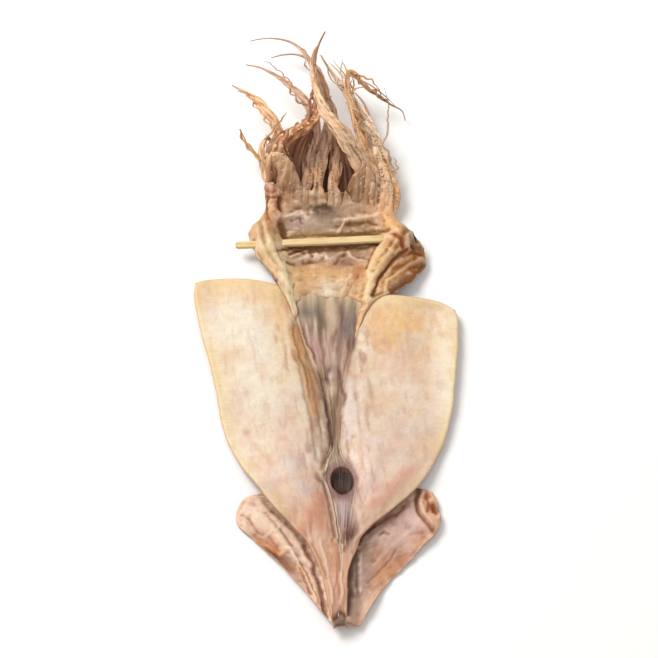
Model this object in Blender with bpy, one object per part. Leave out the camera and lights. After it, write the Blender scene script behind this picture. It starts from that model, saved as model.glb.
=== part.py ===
"""A dried squid, slit along the belly, opened flat and held spread by a bamboo stick.

It lies on its back with the inside of the mantle up, the tail towards -Y and the arms towards +Y.
Plan places are metres from the tail tip (y, forward) and from the midline (x, right); ORIGIN moves
them so that the middle of the base is at the world's origin, with the floor at z = 0.
"""

import math

import bmesh
import bpy
import numpy as np

# ---- driving dimensions, in metres ----
ORIGIN = (-0.0054, 0.2173)  # the plan point over the middle of the base

MANTLE_THICK = 0.0024
MANTLE_ROWS = 32
LOBE_COLUMNS = 9
CHANNEL_COLUMNS = 4
CHANNEL_SHARE = 0.2  # of the half width counted in columns, not in metres
LOBE_CROWN = 0.0046
CHANNEL_DEPTH = 0.0017
TAIL_LIFT = 0.0042  # the tail lies on the fins

HANGING_HOLE = (0.002, 0.096)
HOLE_HALF_SIZE = (0.0070, 0.0095)
HOLE_SIDES = 16

FIN_THICK = 0.0015
FIN_ROWS = 12
FIN_COLUMNS = 8

HEAD_THICK = 0.0022
HEAD_ROWS = 17
HEAD_COLUMNS = 22
PANEL_HEIGHT = 0.0034
CHEEK_RISE = 0.0105
EYE_RISE = 0.0050  # the dried eye in front of the left cheek

ARM_SIDES = 8
ARM_STEP = 0.0078  # length of one ring of faces along an arm
ARM_RADIUS = 0.0044
ARM_FLATNESS = 0.78
ARM_ROOT_BACK = 0.015  # how far an arm's root is buried in the head
ARM_ROOT_HEIGHT = 0.0042

STICK_LENGTH = 0.112
STICK_WIDTH = 0.0050
STICK_THICK = 0.0026
STICK_MIDDLE = (-0.0080, 0.2662, 0.0093)
STICK_TURN = math.radians(5.2)
STICK_GAP = 0.00035  # clearance in the cheeks it pierces

# ---- outlines: (distance from the tail tip, distance from the midline) ----
MANTLE_LEFT = (
    (0.000, 0.0030), (0.016, 0.0060), (0.036, 0.0110), (0.055, 0.0190), (0.068, 0.0300),
    (0.086, 0.0450), (0.111, 0.0630), (0.123, 0.0680), (0.156, 0.0750), (0.185, 0.0820),
    (0.214, 0.0885), (0.226, 0.0900), (0.234, 0.0895),
)  # fmt: skip
MANTLE_RIGHT = (
    (0.000, 0.0030), (0.020, 0.0045), (0.038, 0.0060), (0.051, 0.0095), (0.065, 0.0180),
    (0.076, 0.0300), (0.091, 0.0460), (0.113, 0.0610), (0.140, 0.0710), (0.177, 0.0765),
    (0.203, 0.0790), (0.212, 0.0792), (0.219, 0.0775),
)  # fmt: skip
# (column, distance of the front edge from the tail tip), from the left rim at -1 to the right at 1
MANTLE_FRONT = (
    (-1.0, 0.2335), (-0.93, 0.2355), (-0.6, 0.2370), (-0.2, 0.2330), (0.2, 0.2290),
    (0.6, 0.2270), (0.9, 0.2235), (1.0, 0.2190),
)  # fmt: skip
# The two ridges beside the sunken strip where the pen lay
RIDGE_LEFT = (
    (0.000, -0.0012), (0.040, -0.0018), (0.057, -0.0035), (0.079, -0.0065), (0.096, -0.0105),
    (0.108, -0.0090), (0.124, -0.0050), (0.148, -0.0080), (0.171, -0.0150), (0.195, -0.0230),
    (0.235, -0.0300),
)  # fmt: skip
RIDGE_RIGHT = (
    (0.000, 0.0012), (0.040, 0.0022), (0.057, 0.0050), (0.075, 0.0085), (0.096, 0.0115),
    (0.116, 0.0030), (0.139, 0.0030), (0.167, 0.0070), (0.197, 0.0130), (0.235, 0.0190),
)  # fmt: skip

# (share of the way from tail to front, x, y) of each fin's outer margin
FIN_LEFT = (
    (0.00, -0.0060, 0.0030), (0.16, -0.0200, 0.0220), (0.34, -0.0330, 0.0380),
    (0.55, -0.0510, 0.0560), (0.70, -0.0620, 0.0700), (0.80, -0.0570, 0.0840),
    (0.91, -0.0300, 0.0880), (1.00, -0.0080, 0.0800),
)  # fmt: skip
FIN_RIGHT = (
    (0.00, 0.0100, 0.0020), (0.16, 0.0250, 0.0270), (0.34, 0.0390, 0.0420),
    (0.50, 0.0500, 0.0540), (0.64, 0.0600, 0.0680), (0.76, 0.0570, 0.0900),
    (0.88, 0.0330, 0.0930), (1.00, 0.0080, 0.0800),
)  # fmt: skip
FIN_ROOT = ((0.0, 0.0030), (1.0, 0.0780))  # (share, y) of the line where a fin joins the mantle

HEAD_LEFT = (
    (0.205, 0.0255), (0.215, 0.0275), (0.224, 0.0310), (0.233, 0.0360), (0.241, 0.0400),
    (0.250, 0.0470), (0.258, 0.0520), (0.267, 0.0550), (0.277, 0.0540), (0.285, 0.0480),
    (0.292, 0.0450), (0.302, 0.0450), (0.313, 0.0440),
)  # fmt: skip
HEAD_RIGHT = (
    (0.196, 0.0130), (0.207, 0.0170), (0.217, 0.0215), (0.226, 0.0280), (0.233, 0.0390),
    (0.241, 0.0490), (0.249, 0.0575), (0.257, 0.0605), (0.268, 0.0570), (0.277, 0.0490),
    (0.286, 0.0425), (0.296, 0.0405), (0.313, 0.0410),
)  # fmt: skip
# (column, y): the arched edge over the mantle, which ends in two tendons, and the arm web's margin
HEAD_BACK = (
    (-1.0, 0.2050), (-0.82, 0.2140), (-0.60, 0.2240), (0.0, 0.2270), (0.55, 0.2235),
    (0.80, 0.2120), (1.0, 0.1960),
)  # fmt: skip
HEAD_FRONT = (
    (-1.0, 0.3080), (-0.6, 0.3110), (-0.3, 0.3060), (0.1, 0.3080), (0.6, 0.3090), (1.0, 0.3010),
)  # fmt: skip

# What stands up from the panel: (x, y, rise, spread in x, spread in y)
CHEEKS = (
    (-0.042, 0.265, CHEEK_RISE, 0.0080, 0.0110),
    (0.045, 0.269, CHEEK_RISE, 0.0090, 0.0120),
    (-0.040, 0.299, EYE_RISE, 0.0045, 0.0065),
)  # fmt: skip
# The muscle bands that run from the tendons to the cheeks: (y, x)
BAND_LEFT = (
    (0.205, -0.0245), (0.224, -0.0275), (0.241, -0.0335), (0.262, -0.0420), (0.290, -0.0420),
)  # fmt: skip
BAND_RIGHT = (
    (0.196, 0.0125), (0.215, 0.0170), (0.231, 0.0220), (0.250, 0.0300), (0.269, 0.0430),
    (0.295, 0.0380),
)  # fmt: skip
BAND_RISE = 0.0026
BAND_SPREAD = 0.0050

# Each arm's centre line from the web's margin to its tip, and how thick it is beside the others
ARMS = {
    "hooked": (0.80, (
        (-0.038, 0.308, 0.007), (-0.043, 0.318, 0.010), (-0.046, 0.326, 0.015), (-0.047, 0.333, 0.020),
        (-0.043, 0.339, 0.022), (-0.040, 0.336, 0.019), (-0.039, 0.332, 0.015), (-0.041, 0.326, 0.009))),
    "left_sweep": (0.95, (
        (-0.032, 0.309, 0.007), (-0.034, 0.319, 0.012), (-0.036, 0.328, 0.018), (-0.037, 0.339, 0.024),
        (-0.040, 0.350, 0.027), (-0.046, 0.359, 0.027), (-0.054, 0.372, 0.023), (-0.062, 0.383, 0.016),
        (-0.067, 0.391, 0.010))),
    "bent": (1.15, (
        (-0.028, 0.308, 0.007), (-0.032, 0.315, 0.015), (-0.036, 0.322, 0.026), (-0.035, 0.326, 0.033),
        (-0.027, 0.332, 0.037), (-0.016, 0.340, 0.038), (-0.011, 0.352, 0.037), (-0.011, 0.369, 0.035),
        (-0.013, 0.388, 0.031), (-0.011, 0.407, 0.026), (-0.006, 0.425, 0.022), (-0.003, 0.433, 0.020))),
    "centre_left": (1.0, (
        (-0.018, 0.305, 0.007), (-0.016, 0.316, 0.012), (-0.015, 0.328, 0.017), (-0.012, 0.339, 0.022),
        (-0.012, 0.352, 0.026), (-0.018, 0.365, 0.028), (-0.026, 0.376, 0.027), (-0.037, 0.389, 0.024),
        (-0.048, 0.399, 0.020), (-0.058, 0.406, 0.014))),
    "centre": (1.0, (
        (-0.008, 0.303, 0.007), (-0.007, 0.315, 0.012), (-0.005, 0.327, 0.017), (-0.002, 0.340, 0.022),
        (-0.003, 0.355, 0.025), (-0.008, 0.374, 0.024), (-0.011, 0.393, 0.022), (-0.017, 0.410, 0.021),
        (-0.027, 0.424, 0.018), (-0.039, 0.430, 0.014), (-0.048, 0.433, 0.009), (-0.055, 0.434, 0.005))),
    "centre_right": (0.95, (
        (0.003, 0.305, 0.007), (0.004, 0.317, 0.011), (0.005, 0.330, 0.015), (0.004, 0.344, 0.018),
        (0.001, 0.360, 0.019), (-0.003, 0.377, 0.018), (-0.006, 0.395, 0.016), (-0.013, 0.411, 0.014),
        (-0.022, 0.418, 0.012), (-0.031, 0.420, 0.009), (-0.040, 0.420, 0.005))),
    "crossing": (1.0, (
        (0.022, 0.308, 0.008), (0.020, 0.315, 0.016), (0.014, 0.323, 0.026), (0.006, 0.331, 0.036),
        (-0.002, 0.339, 0.042), (-0.009, 0.351, 0.044), (-0.013, 0.367, 0.044), (-0.015, 0.384, 0.042),
        (-0.013, 0.400, 0.038), (-0.008, 0.412, 0.033))),
    "right_hook": (0.95, (
        (0.030, 0.306, 0.008), (0.028, 0.317, 0.014), (0.023, 0.329, 0.019), (0.018, 0.343, 0.023),
        (0.014, 0.357, 0.026), (0.011, 0.371, 0.028), (0.010, 0.386, 0.028), (0.012, 0.393, 0.027),
        (0.017, 0.392, 0.025), (0.022, 0.386, 0.022), (0.027, 0.384, 0.018), (0.033, 0.383, 0.015),
        (0.041, 0.379, 0.011), (0.050, 0.376, 0.007), (0.052, 0.370, 0.004))),
    "right": (1.0, (
        (0.036, 0.304, 0.008), (0.035, 0.316, 0.012), (0.032, 0.329, 0.016), (0.028, 0.342, 0.019),
        (0.023, 0.354, 0.021), (0.016, 0.369, 0.021), (0.009, 0.383, 0.020), (0.002, 0.397, 0.018),
        (-0.003, 0.409, 0.015), (-0.006, 0.419, 0.012))),
    "outer_right": (0.85, (
        (0.041, 0.300, 0.008), (0.040, 0.311, 0.010), (0.038, 0.324, 0.012), (0.034, 0.337, 0.013),
        (0.030, 0.349, 0.014), (0.026, 0.357, 0.014), (0.025, 0.369, 0.013), (0.023, 0.378, 0.012),
        (0.017, 0.389, 0.010))),
}  # fmt: skip
# (share of an arm's length, share of its full radius)
ARM_TAPER = ((0.0, 0.40), (0.06, 0.80), (0.12, 1.0), (0.35, 0.86), (0.62, 0.62), (0.86, 0.30), (1.0, 0.13))

# The thin webs between neighbouring arms: how far along the arms each one reaches at its sides
WEBS = (
    ("hooked", "left_sweep", 0.016), ("bent", "centre_left", 0.036), ("centre_left", "centre", 0.015),
    ("centre", "centre_right", 0.013), ("centre_right", "crossing", 0.013), ("crossing", "right_hook", 0.016),
    ("right_hook", "right", 0.022), ("right", "outer_right", 0.024),
)  # fmt: skip
WEB_THICK = 0.0012
WEB_GRID = 6
WEB_HOLLOW = 0.45  # how far the web's free margin is drawn back in the middle, as a share of its reach

FLESH = (0.78, 0.55, 0.38)
BAMBOO = (0.86, 0.72, 0.42)


# ---- curves and surfaces ----
def smooth(knots, at):
    """The smooth curve through (place, value) pairs, at the places asked for."""
    place, value = np.array(knots, float).T
    slope = np.gradient(value, place)
    i = np.clip(np.searchsorted(place, at) - 1, 0, len(place) - 2)
    gap = place[i + 1] - place[i]
    s = np.clip((at - place[i]) / gap, 0, 1)
    start = value[i] * (1 + 2 * s) * (1 - s) ** 2 + slope[i] * gap * s * (1 - s) ** 2
    return start + value[i + 1] * s * s * (3 - 2 * s) - slope[i + 1] * gap * s * s * (1 - s)


def ramp(value, low, high):
    """0 below low and 1 above high, with a smooth rise between."""
    s = np.clip((value - low) / (high - low), 0, 1)
    return s * s * (3 - 2 * s)


def mantle_middle(x, y):
    """Height of the mantle's mid surface: two crowned lobes beside a sunken strip."""
    rim = np.where(x < 0, smooth(MANTLE_LEFT, y), smooth(MANTLE_RIGHT, y))
    ridge = np.where(x < 0, -smooth(RIDGE_LEFT, y), smooth(RIDGE_RIGHT, y))
    out = np.clip((np.abs(x) - ridge) / np.maximum(rim - ridge, 1e-4), 0, 1)
    breadth = ramp(rim, 0.006, 0.055)
    crown = LOBE_CROWN * np.sin(np.pi * out**0.75) * breadth
    sunk = CHANNEL_DEPTH * ramp(ridge - np.abs(x), -0.0015, 0.0025) * ramp(y, 0.02, 0.06)
    lift = TAIL_LIFT * (1 - ramp(y, 0.070, 0.130))
    wave = 0.0009 * np.sin(58 * y + 1.1) * np.sin(36 * x + 0.6) * out
    curl = 0.0030 * ramp(out, 0.72, 1.0) * (0.55 + 0.45 * np.sin(31 * y + np.where(x < 0, 0.4, 2.0)))
    return 0.0028 + crown - sunk + lift + wave + curl * breadth


def head_middle(x, y):
    """Height of the head's mid surface, which starts in the mantle's and rises into two cheeks."""
    over = mantle_middle(x, y) + 0.45 * MANTLE_THICK
    away = ramp(y, 0.226, 0.248)
    z = over * (1 - away) + PANEL_HEIGHT * away
    for cx, cy, rise, sx, sy in CHEEKS:
        z = z + rise * np.exp(-(((x - cx) / sx) ** 2 + ((y - cy) / sy) ** 2) / 2)
    for band in (BAND_LEFT, BAND_RIGHT):
        z = z + BAND_RISE * np.exp(-(((x - smooth(band, y)) / BAND_SPREAD) ** 2)) * ramp(y, 0.200, 0.235)
    ear = 0.0045 * ramp(x, 0.040, 0.056) * (1 - ramp(y, 0.236, 0.256))
    return z + ear + 0.0030 * ramp(y, 0.285, 0.306)


# ---- meshes ----
def new_object(name, points, faces, colour):
    """An object of these plan points, moved so that the middle of the base is the origin."""
    mesh = bpy.data.meshes.new(name)
    moved = np.asarray(points, float) - (ORIGIN[0], ORIGIN[1], 0.0)
    mesh.from_pydata(moved.tolist(), [], [tuple(int(i) for i in face) for face in faces])
    mesh.validate()
    obj = bpy.data.objects.new(name, mesh)
    bpy.context.scene.collection.objects.link(obj)
    mesh.materials.append(material(name, colour))
    work = bmesh.new()
    work.from_mesh(mesh)
    bmesh.ops.recalc_face_normals(work, faces=work.faces)
    work.to_mesh(mesh)
    work.free()
    return obj


def material(name, colour):
    made = bpy.data.materials.new(name)
    made.use_nodes = True
    shader = made.node_tree.nodes["Principled BSDF"]
    shader.inputs["Base Color"].default_value = (*colour, 1.0)
    shader.inputs["Roughness"].default_value = 0.6
    shader.inputs["Metallic"].default_value = 0.0
    return made


def sheet(name, middle, thick):
    """A closed skin around a grid of mid-surface points, with both sides split into triangles alike."""
    rows, columns = middle.shape[:2]
    across = np.gradient(middle, axis=1)
    along = np.gradient(middle, axis=0)
    normal = np.cross(across, along)
    normal /= np.linalg.norm(normal, axis=2, keepdims=True)
    upper = middle + normal * thick / 2
    lower = middle - normal * thick / 2
    lower[..., 2] = np.maximum(lower[..., 2], 0.0)
    upper[..., 2] = np.maximum(upper[..., 2], lower[..., 2] + 0.6 * thick)
    count = rows * columns
    index = np.arange(count).reshape(rows, columns)
    a, b, c, d = index[:-1, :-1], index[:-1, 1:], index[1:, 1:], index[1:, :-1]
    top = np.concatenate([np.stack([a, b, c], -1).reshape(-1, 3), np.stack([a, c, d], -1).reshape(-1, 3)])
    rim = np.concatenate([index[0], index[1:, -1], index[-1, -2::-1], index[-2:0:-1, 0]])
    after = np.roll(rim, -1)
    side = np.concatenate([
        np.stack([after, rim, rim + count], -1),
        np.stack([after, rim + count, after + count], -1),
    ])
    faces = np.concatenate([top, top[:, ::-1] + count, side])
    return new_object(name, np.concatenate([upper.reshape(-1, 3), lower.reshape(-1, 3)]), faces, FLESH)


def mantle():
    """Columns run rim, ridge, ridge, rim, so that the sunken strip keeps crisp edges."""
    lobe = np.linspace(1, CHANNEL_SHARE, LOBE_COLUMNS + 1)
    strip = np.linspace(-CHANNEL_SHARE, CHANNEL_SHARE, CHANNEL_COLUMNS + 1)[1:-1]
    column = np.concatenate([-lobe, strip, lobe[::-1]])
    share = np.linspace(0, 1, MANTLE_ROWS + 1)
    y = share[:, None] * smooth(MANTLE_FRONT, column)[None, :]
    left, right = smooth(RIDGE_LEFT, y), smooth(RIDGE_RIGHT, y)
    out = np.clip((np.abs(column) - CHANNEL_SHARE) / (1 - CHANNEL_SHARE), 0, 1)[None, :]
    inner = left + (right - left) * (np.clip(column, -CHANNEL_SHARE, CHANNEL_SHARE) / CHANNEL_SHARE + 1) / 2
    rim = np.where(column < 0, -smooth(MANTLE_LEFT, y), smooth(MANTLE_RIGHT, y))
    x = inner + (rim - inner) * out
    return sheet("mantle", np.stack([x, y, mantle_middle(x, y)], -1), MANTLE_THICK)


def fin(name, margin):
    """A fin from its root under the mantle's midline out to a wavy margin on the floor."""
    share = np.linspace(0, 1, FIN_ROWS + 1)[:, None]
    out = np.linspace(0, 1, FIN_COLUMNS + 1)[None, :]
    places, edge_x, edge_y = zip(*margin)
    mx = smooth(list(zip(places, edge_x)), share)
    my = smooth(list(zip(places, edge_y)), share)
    root_x = math.copysign(0.0022, edge_x[0])
    root_y = smooth(FIN_ROOT, share)
    x = root_x + (mx - root_x) * out
    y = root_y + (my - root_y) * out
    root_z = mantle_middle(np.full_like(root_y, root_x), root_y)
    drop = ramp(np.abs(x - root_x), 0.0, 0.011)
    margin_wave = 0.0011 * ramp(out, 0.6, 1.0) * (1 + np.sin(95 * y + 40 * x))
    z = root_z * (1 - drop) + (0.0011 + margin_wave) * drop
    return sheet(name, np.stack([x, y, z], -1), FIN_THICK)


def head():
    """The opened head: a thin panel between two muscle bands, with a cheek at each side."""
    column = np.linspace(-1, 1, HEAD_COLUMNS + 1)[None, :]
    share = np.linspace(0, 1, HEAD_ROWS + 1)[:, None]
    back, front = smooth(HEAD_BACK, column), smooth(HEAD_FRONT, column)
    y = back + (front - back) * share
    x = np.where(column < 0, smooth(HEAD_LEFT, y), smooth(HEAD_RIGHT, y)) * column
    return sheet("head", np.stack([x, y, head_middle(x, y)], -1), HEAD_THICK)


def arm_route(route):
    """An arm's own points with its buried root, and their distances along it."""
    root = (0.85 * route[0][0], route[0][1] - ARM_ROOT_BACK, ARM_ROOT_HEIGHT)
    points = np.array([root, *route])
    run = np.concatenate([[0], np.cumsum(np.linalg.norm(np.diff(points, axis=0), axis=1))])
    return points, run


def along_arm(route, at):
    """The places on an arm's smooth centre line at these distances from its root."""
    points, run = arm_route(route)
    return np.stack([smooth(np.stack([run, points[:, k]], -1), at) for k in range(3)], -1)


def web(first, second, reach):
    """The skin stretched between two arms, from the head to a free margin drawn back in the middle."""
    across = np.linspace(0, 1, WEB_GRID + 1)
    share = np.linspace(0, 1, WEB_GRID + 1)[:, None]
    drawn_back = 1 - WEB_HOLLOW * 4 * across * (1 - across)
    at = (ARM_ROOT_BACK * 0.5) * (1 - share) + (ARM_ROOT_BACK + reach * drawn_back) * share
    left, right = along_arm(ARMS[first][1], at), along_arm(ARMS[second][1], at)
    return sheet(f"web_{first}", left + (right - left) * across[None, :, None], WEB_THICK)


def arm(name, size, route):
    """A tapering tube along a smooth curve, flattened from above, with its root buried in the head."""
    run = arm_route(route)[1]
    rings = max(6, round(run[-1] / ARM_STEP))
    at = np.linspace(0, run[-1], rings + 1)
    line = along_arm(route, at)
    ahead = np.gradient(line, axis=0)
    ahead /= np.linalg.norm(ahead, axis=1, keepdims=True)
    sideways = np.cross(ahead, (0, 0, 1))
    sideways /= np.linalg.norm(sideways, axis=1, keepdims=True)
    upward = np.cross(sideways, ahead)
    radius = ARM_RADIUS * size * smooth(ARM_TAPER, at / run[-1])
    turn = np.linspace(0, 2 * np.pi, ARM_SIDES, endpoint=False)
    ring = (
        line[:, None, :]
        + sideways[:, None, :] * (radius[:, None] * np.cos(turn))[..., None]
        + upward[:, None, :] * (ARM_FLATNESS * radius[:, None] * np.sin(turn))[..., None]
    )
    count = len(line) * ARM_SIDES
    index = np.arange(count).reshape(-1, ARM_SIDES)
    after = np.roll(index, -1, axis=1)
    quads = np.stack([index[:-1], after[:-1], after[1:], index[1:]], -1).reshape(-1, 4)
    faces = [*quads, *([after[0, k], index[0, k], count] for k in range(ARM_SIDES))]
    faces += [[index[-1, k], after[-1, k], count + 1] for k in range(ARM_SIDES)]
    tip = line[-1] + ahead[-1] * radius[-1]
    base = line[0] - ahead[0] * 0.3 * radius[0]
    return new_object(name, np.concatenate([ring.reshape(-1, 3), [base, tip]]), faces, FLESH)


def stick(name, extra):
    """The split-bamboo stick: a flat strip whose ends narrow a little, grown by extra on every side."""
    half = (STICK_LENGTH / 2 + extra, STICK_WIDTH / 2 + extra, STICK_THICK / 2 + extra)
    stations = ((-1.0, 0.62), (-0.975, 0.9), (-0.9, 1.0), (0.9, 1.0), (0.975, 0.88), (1.0, 0.6))
    chamfer = 0.28 * half[2]
    outline = [
        (-1, -half[2] + chamfer), (-1, half[2] - chamfer), (-0.8, half[2]), (0.8, half[2]),
        (1, half[2] - chamfer), (1, -half[2] + chamfer), (0.8, -half[2]), (-0.8, -half[2]),
    ]  # fmt: skip
    points, sides = [], len(outline)
    cosine, sine = math.cos(STICK_TURN), math.sin(STICK_TURN)
    for along, wide in stations:
        for across, high in outline:
            u, v = along * half[0], across * half[1] * wide
            place = (cosine * u - sine * v, sine * u + cosine * v, high)
            points.append([m + p for m, p in zip(STICK_MIDDLE, place)])
    faces = [list(range(sides)), [len(points) - sides + k for k in range(sides)][::-1]]
    for s in range(len(stations) - 1):
        for k in range(sides):
            n = (k + 1) % sides
            faces.append([s * sides + k, (s + 1) * sides + k, (s + 1) * sides + n, s * sides + n])
    return new_object(name, points, faces, BAMBOO)


def hole_cutter():
    """An upright oval bar through the mantle where the squid was threaded for drying."""
    turn = np.linspace(0, 2 * np.pi, HOLE_SIDES, endpoint=False)
    x = HANGING_HOLE[0] + HOLE_HALF_SIZE[0] * np.cos(turn)
    y = HANGING_HOLE[1] + HOLE_HALF_SIZE[1] * np.sin(turn)
    low, high = np.full_like(x, -0.01), np.full_like(x, 0.02)
    points = np.concatenate([np.stack([x, y, low], -1), np.stack([x, y, high], -1)])
    ring = list(range(HOLE_SIDES))
    faces = [ring[::-1], [k + HOLE_SIDES for k in ring]]
    faces += [[k, (k + 1) % HOLE_SIDES, (k + 1) % HOLE_SIDES + HOLE_SIDES, k + HOLE_SIDES] for k in ring]
    return new_object("hole_cutter", points, faces, FLESH)


def apply_boolean(obj, operation, others):
    """Joins or cuts the object with a collection of others, which are then removed."""
    group = bpy.data.collections.new("boolean_group")
    for other in others:
        group.objects.link(other)
    modifier = obj.modifiers.new("shape", "BOOLEAN")
    modifier.operation = operation
    modifier.operand_type = "COLLECTION"
    modifier.collection = group
    modifier.solver = "MANIFOLD"
    graph = bpy.context.evaluated_depsgraph_get()
    made = bpy.data.meshes.new_from_object(obj.evaluated_get(graph))
    obj.modifiers.clear()
    obj.data = made
    for other in others:
        bpy.data.objects.remove(other)
    bpy.data.collections.remove(group)


def drop_scraps(obj):
    """Keeps only the largest connected body of the mesh, in triangles."""
    work = bmesh.new()
    work.from_mesh(obj.data)
    bmesh.ops.remove_doubles(work, verts=work.verts, dist=1e-6)
    left, bodies = set(work.verts), []
    while left:
        stack = [left.pop()]
        body = set(stack)
        while stack:
            for edge in stack.pop().link_edges:
                for vert in edge.verts:
                    if vert not in body:
                        body.add(vert)
                        stack.append(vert)
        left -= body
        bodies.append(body)
    bodies.sort(key=len)
    loose = [vert for body in bodies[:-1] for vert in body]
    bmesh.ops.delete(work, geom=loose, context="VERTS")
    bmesh.ops.triangulate(work, faces=work.faces)
    work.to_mesh(obj.data)
    work.free()


def main():
    for old in list(bpy.data.objects):
        bpy.data.objects.remove(old)
    squid = mantle()
    squid.name = "squid"
    pieces = [fin("fin_left", FIN_LEFT), fin("fin_right", FIN_RIGHT), head()]
    pieces += [arm(f"arm_{name}", size, route) for name, (size, route) in ARMS.items()]
    pieces += [web(first, second, reach) for first, second, reach in WEBS]
    apply_boolean(squid, "UNION", pieces)
    apply_boolean(squid, "DIFFERENCE", [hole_cutter(), stick("stick_cutter", STICK_GAP)])
    drop_scraps(squid)
    squid.data.shade_smooth()
    squid.data.set_sharp_from_angle(angle=math.radians(50))
    stick("bamboo_stick", 0.0)


main()
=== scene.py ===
"""The looks of a dried squid that lies opened flat, its head held spread by a bamboo stick.

Plan places are millimetres: x right of the midline, y forward from the tail tip, z up from the table.
"""

import math

import bpy
import numpy as np
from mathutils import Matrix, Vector


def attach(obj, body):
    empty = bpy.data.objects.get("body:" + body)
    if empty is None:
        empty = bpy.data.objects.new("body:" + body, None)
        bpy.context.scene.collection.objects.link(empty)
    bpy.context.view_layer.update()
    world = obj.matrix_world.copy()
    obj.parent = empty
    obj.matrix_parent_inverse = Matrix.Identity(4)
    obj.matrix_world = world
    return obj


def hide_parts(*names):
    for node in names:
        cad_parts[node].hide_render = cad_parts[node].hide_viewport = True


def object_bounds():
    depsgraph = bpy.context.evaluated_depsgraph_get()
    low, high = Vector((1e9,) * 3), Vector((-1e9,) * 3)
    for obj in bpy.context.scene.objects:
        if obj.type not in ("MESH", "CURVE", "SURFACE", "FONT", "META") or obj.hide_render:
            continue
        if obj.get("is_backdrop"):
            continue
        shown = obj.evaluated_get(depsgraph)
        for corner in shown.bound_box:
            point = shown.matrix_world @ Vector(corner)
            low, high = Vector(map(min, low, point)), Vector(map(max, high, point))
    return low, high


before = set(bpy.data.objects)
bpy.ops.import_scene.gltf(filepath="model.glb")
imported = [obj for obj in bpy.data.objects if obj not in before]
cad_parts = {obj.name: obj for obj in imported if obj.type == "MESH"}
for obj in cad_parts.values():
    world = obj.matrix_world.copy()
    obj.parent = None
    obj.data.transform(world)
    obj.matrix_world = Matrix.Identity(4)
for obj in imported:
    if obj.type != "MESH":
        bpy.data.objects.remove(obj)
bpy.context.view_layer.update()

# ---- Table, light and camera ----
# A plain white table under one broad, soft light from the upper left. The camera stands a good
# metre off, in front of the tail and a little to the left, and looks down at about sixty degrees.
scene = bpy.context.scene
scene.view_settings.view_transform = "Standard"

TABLE_HALF = 2.0
TABLE_HEIGHT = -0.0001  # just below what lies on it
TABLE_COLOUR = (0.90, 0.885, 0.86, 1.0)
SKY_STRENGTH = 0.70
KEY_WATTS = 20.0
KEY_SIDE = 0.75
KEY_PLACE = (-0.85, 0.55, 1.15)
CAMERA_PLACE = (-0.1002, -0.6317, 1.0392)
CAMERA_AIM = (0.0020, -0.0116, 0.0)
CAMERA_LENS = 104.0
CAMERA_ROLL = math.radians(9.56)  # keeps the squid upright, seen a little from its left


def looks_at(thing, aim):
    """Turns a light or the camera so that it points at a place."""
    thing.rotation_euler = (Vector(aim) - thing.location).to_track_quat("-Z", "Y").to_euler()


table_mesh = bpy.data.meshes.new("table")
corners = [(x * TABLE_HALF, y * TABLE_HALF, TABLE_HEIGHT) for x, y in ((-1, -1), (1, -1), (1, 1), (-1, 1))]
table_mesh.from_pydata(corners, [], [(0, 1, 2, 3)])
table = bpy.data.objects.new("table", table_mesh)
scene.collection.objects.link(table)
table_paint = bpy.data.materials.new("table_white")
table_paint.use_nodes = True
table_shader = table_paint.node_tree.nodes["Principled BSDF"]
table_shader.inputs["Base Color"].default_value = TABLE_COLOUR
table_shader.inputs["Roughness"].default_value = 0.8
table_mesh.materials.append(table_paint)
table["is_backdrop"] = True

sky = bpy.data.worlds.new("sky")
sky.use_nodes = True
sky.node_tree.nodes["Background"].inputs["Color"].default_value = (1.0, 1.0, 1.0, 1.0)
sky.node_tree.nodes["Background"].inputs["Strength"].default_value = SKY_STRENGTH
scene.world = sky

key_data = bpy.data.lights.new("window_light", "AREA")
key_data.energy = KEY_WATTS
key_data.size = KEY_SIDE
key = bpy.data.objects.new("window_light", key_data)
key.location = KEY_PLACE
looks_at(key, (0.0, 0.0, 0.0))
scene.collection.objects.link(key)

camera_data = bpy.data.cameras.new("camera")
camera_data.lens = CAMERA_LENS
camera_data.sensor_width = 36.0
camera = bpy.data.objects.new("camera", camera_data)
camera.location = CAMERA_PLACE
looks_at(camera, CAMERA_AIM)
camera.rotation_euler.rotate_axis("Z", CAMERA_ROLL)
scene.collection.objects.link(camera)
scene.camera = camera

# ---- Mantle ----
# The body tube of the squid, slit along the belly, opened flat and sun dried: two pale lobes of
# muscle beside the sunken grey strip where the pen lay. Its skin is left on below. A hole near the
# tail, torn by the drying rod, goes right through.
ORIGIN = (-5.4, 217.3, 0.0)  # the plan place over the middle of the base
LIT = 1.36  # how much brighter than its own colour a surface looks under this light
MM = 0.001  # metres
LEAST_HEIGHT = 0.02  # nothing comes nearer to the table than this

MANTLE_THICK = 2.4
MANTLE_ROWS = 224
LOBE_COLUMNS = 78
STRIP_COLUMNS = 46
STRIP_SHARE = 0.2
REST_HEIGHT = 2.8  # of the middle surface, where nothing lifts it
LOBE_CROWN = 4.6
LOBE_WAVE = 0.9
RIM_CURL = 3.0
STRIP_DEPTH = 1.7
TAIL_LIFT = 4.2
EDGE_ROUND = 1.8  # how far in from an edge a sheet of flesh reaches its full thickness
MANTLE_LEFT = (
    (0, 5.5), (8, 7.5), (18, 9), (36, 13), (46, 16.5), (54, 20.5), (61, 27), (68, 33), (76, 40), (86, 47),
    (111, 63), (123, 68), (156, 75), (185, 82), (214, 88.5), (226, 90), (234, 89.5),
)
MANTLE_RIGHT = (
    (0, 2.4), (20, 3.0), (36, 4.2), (43, 6.5), (51, 10), (58, 13), (65, 18.5), (76, 31), (91, 47),
    (113, 61), (140, 71), (177, 76.5), (203, 79), (212, 79.2), (219, 77.5),
)
MANTLE_FRONT = (
    (-1, 233.5), (-0.93, 235.5), (-0.6, 237), (-0.2, 233), (0.2, 229), (0.6, 227), (0.9, 223.5), (1, 219),
)
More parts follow.
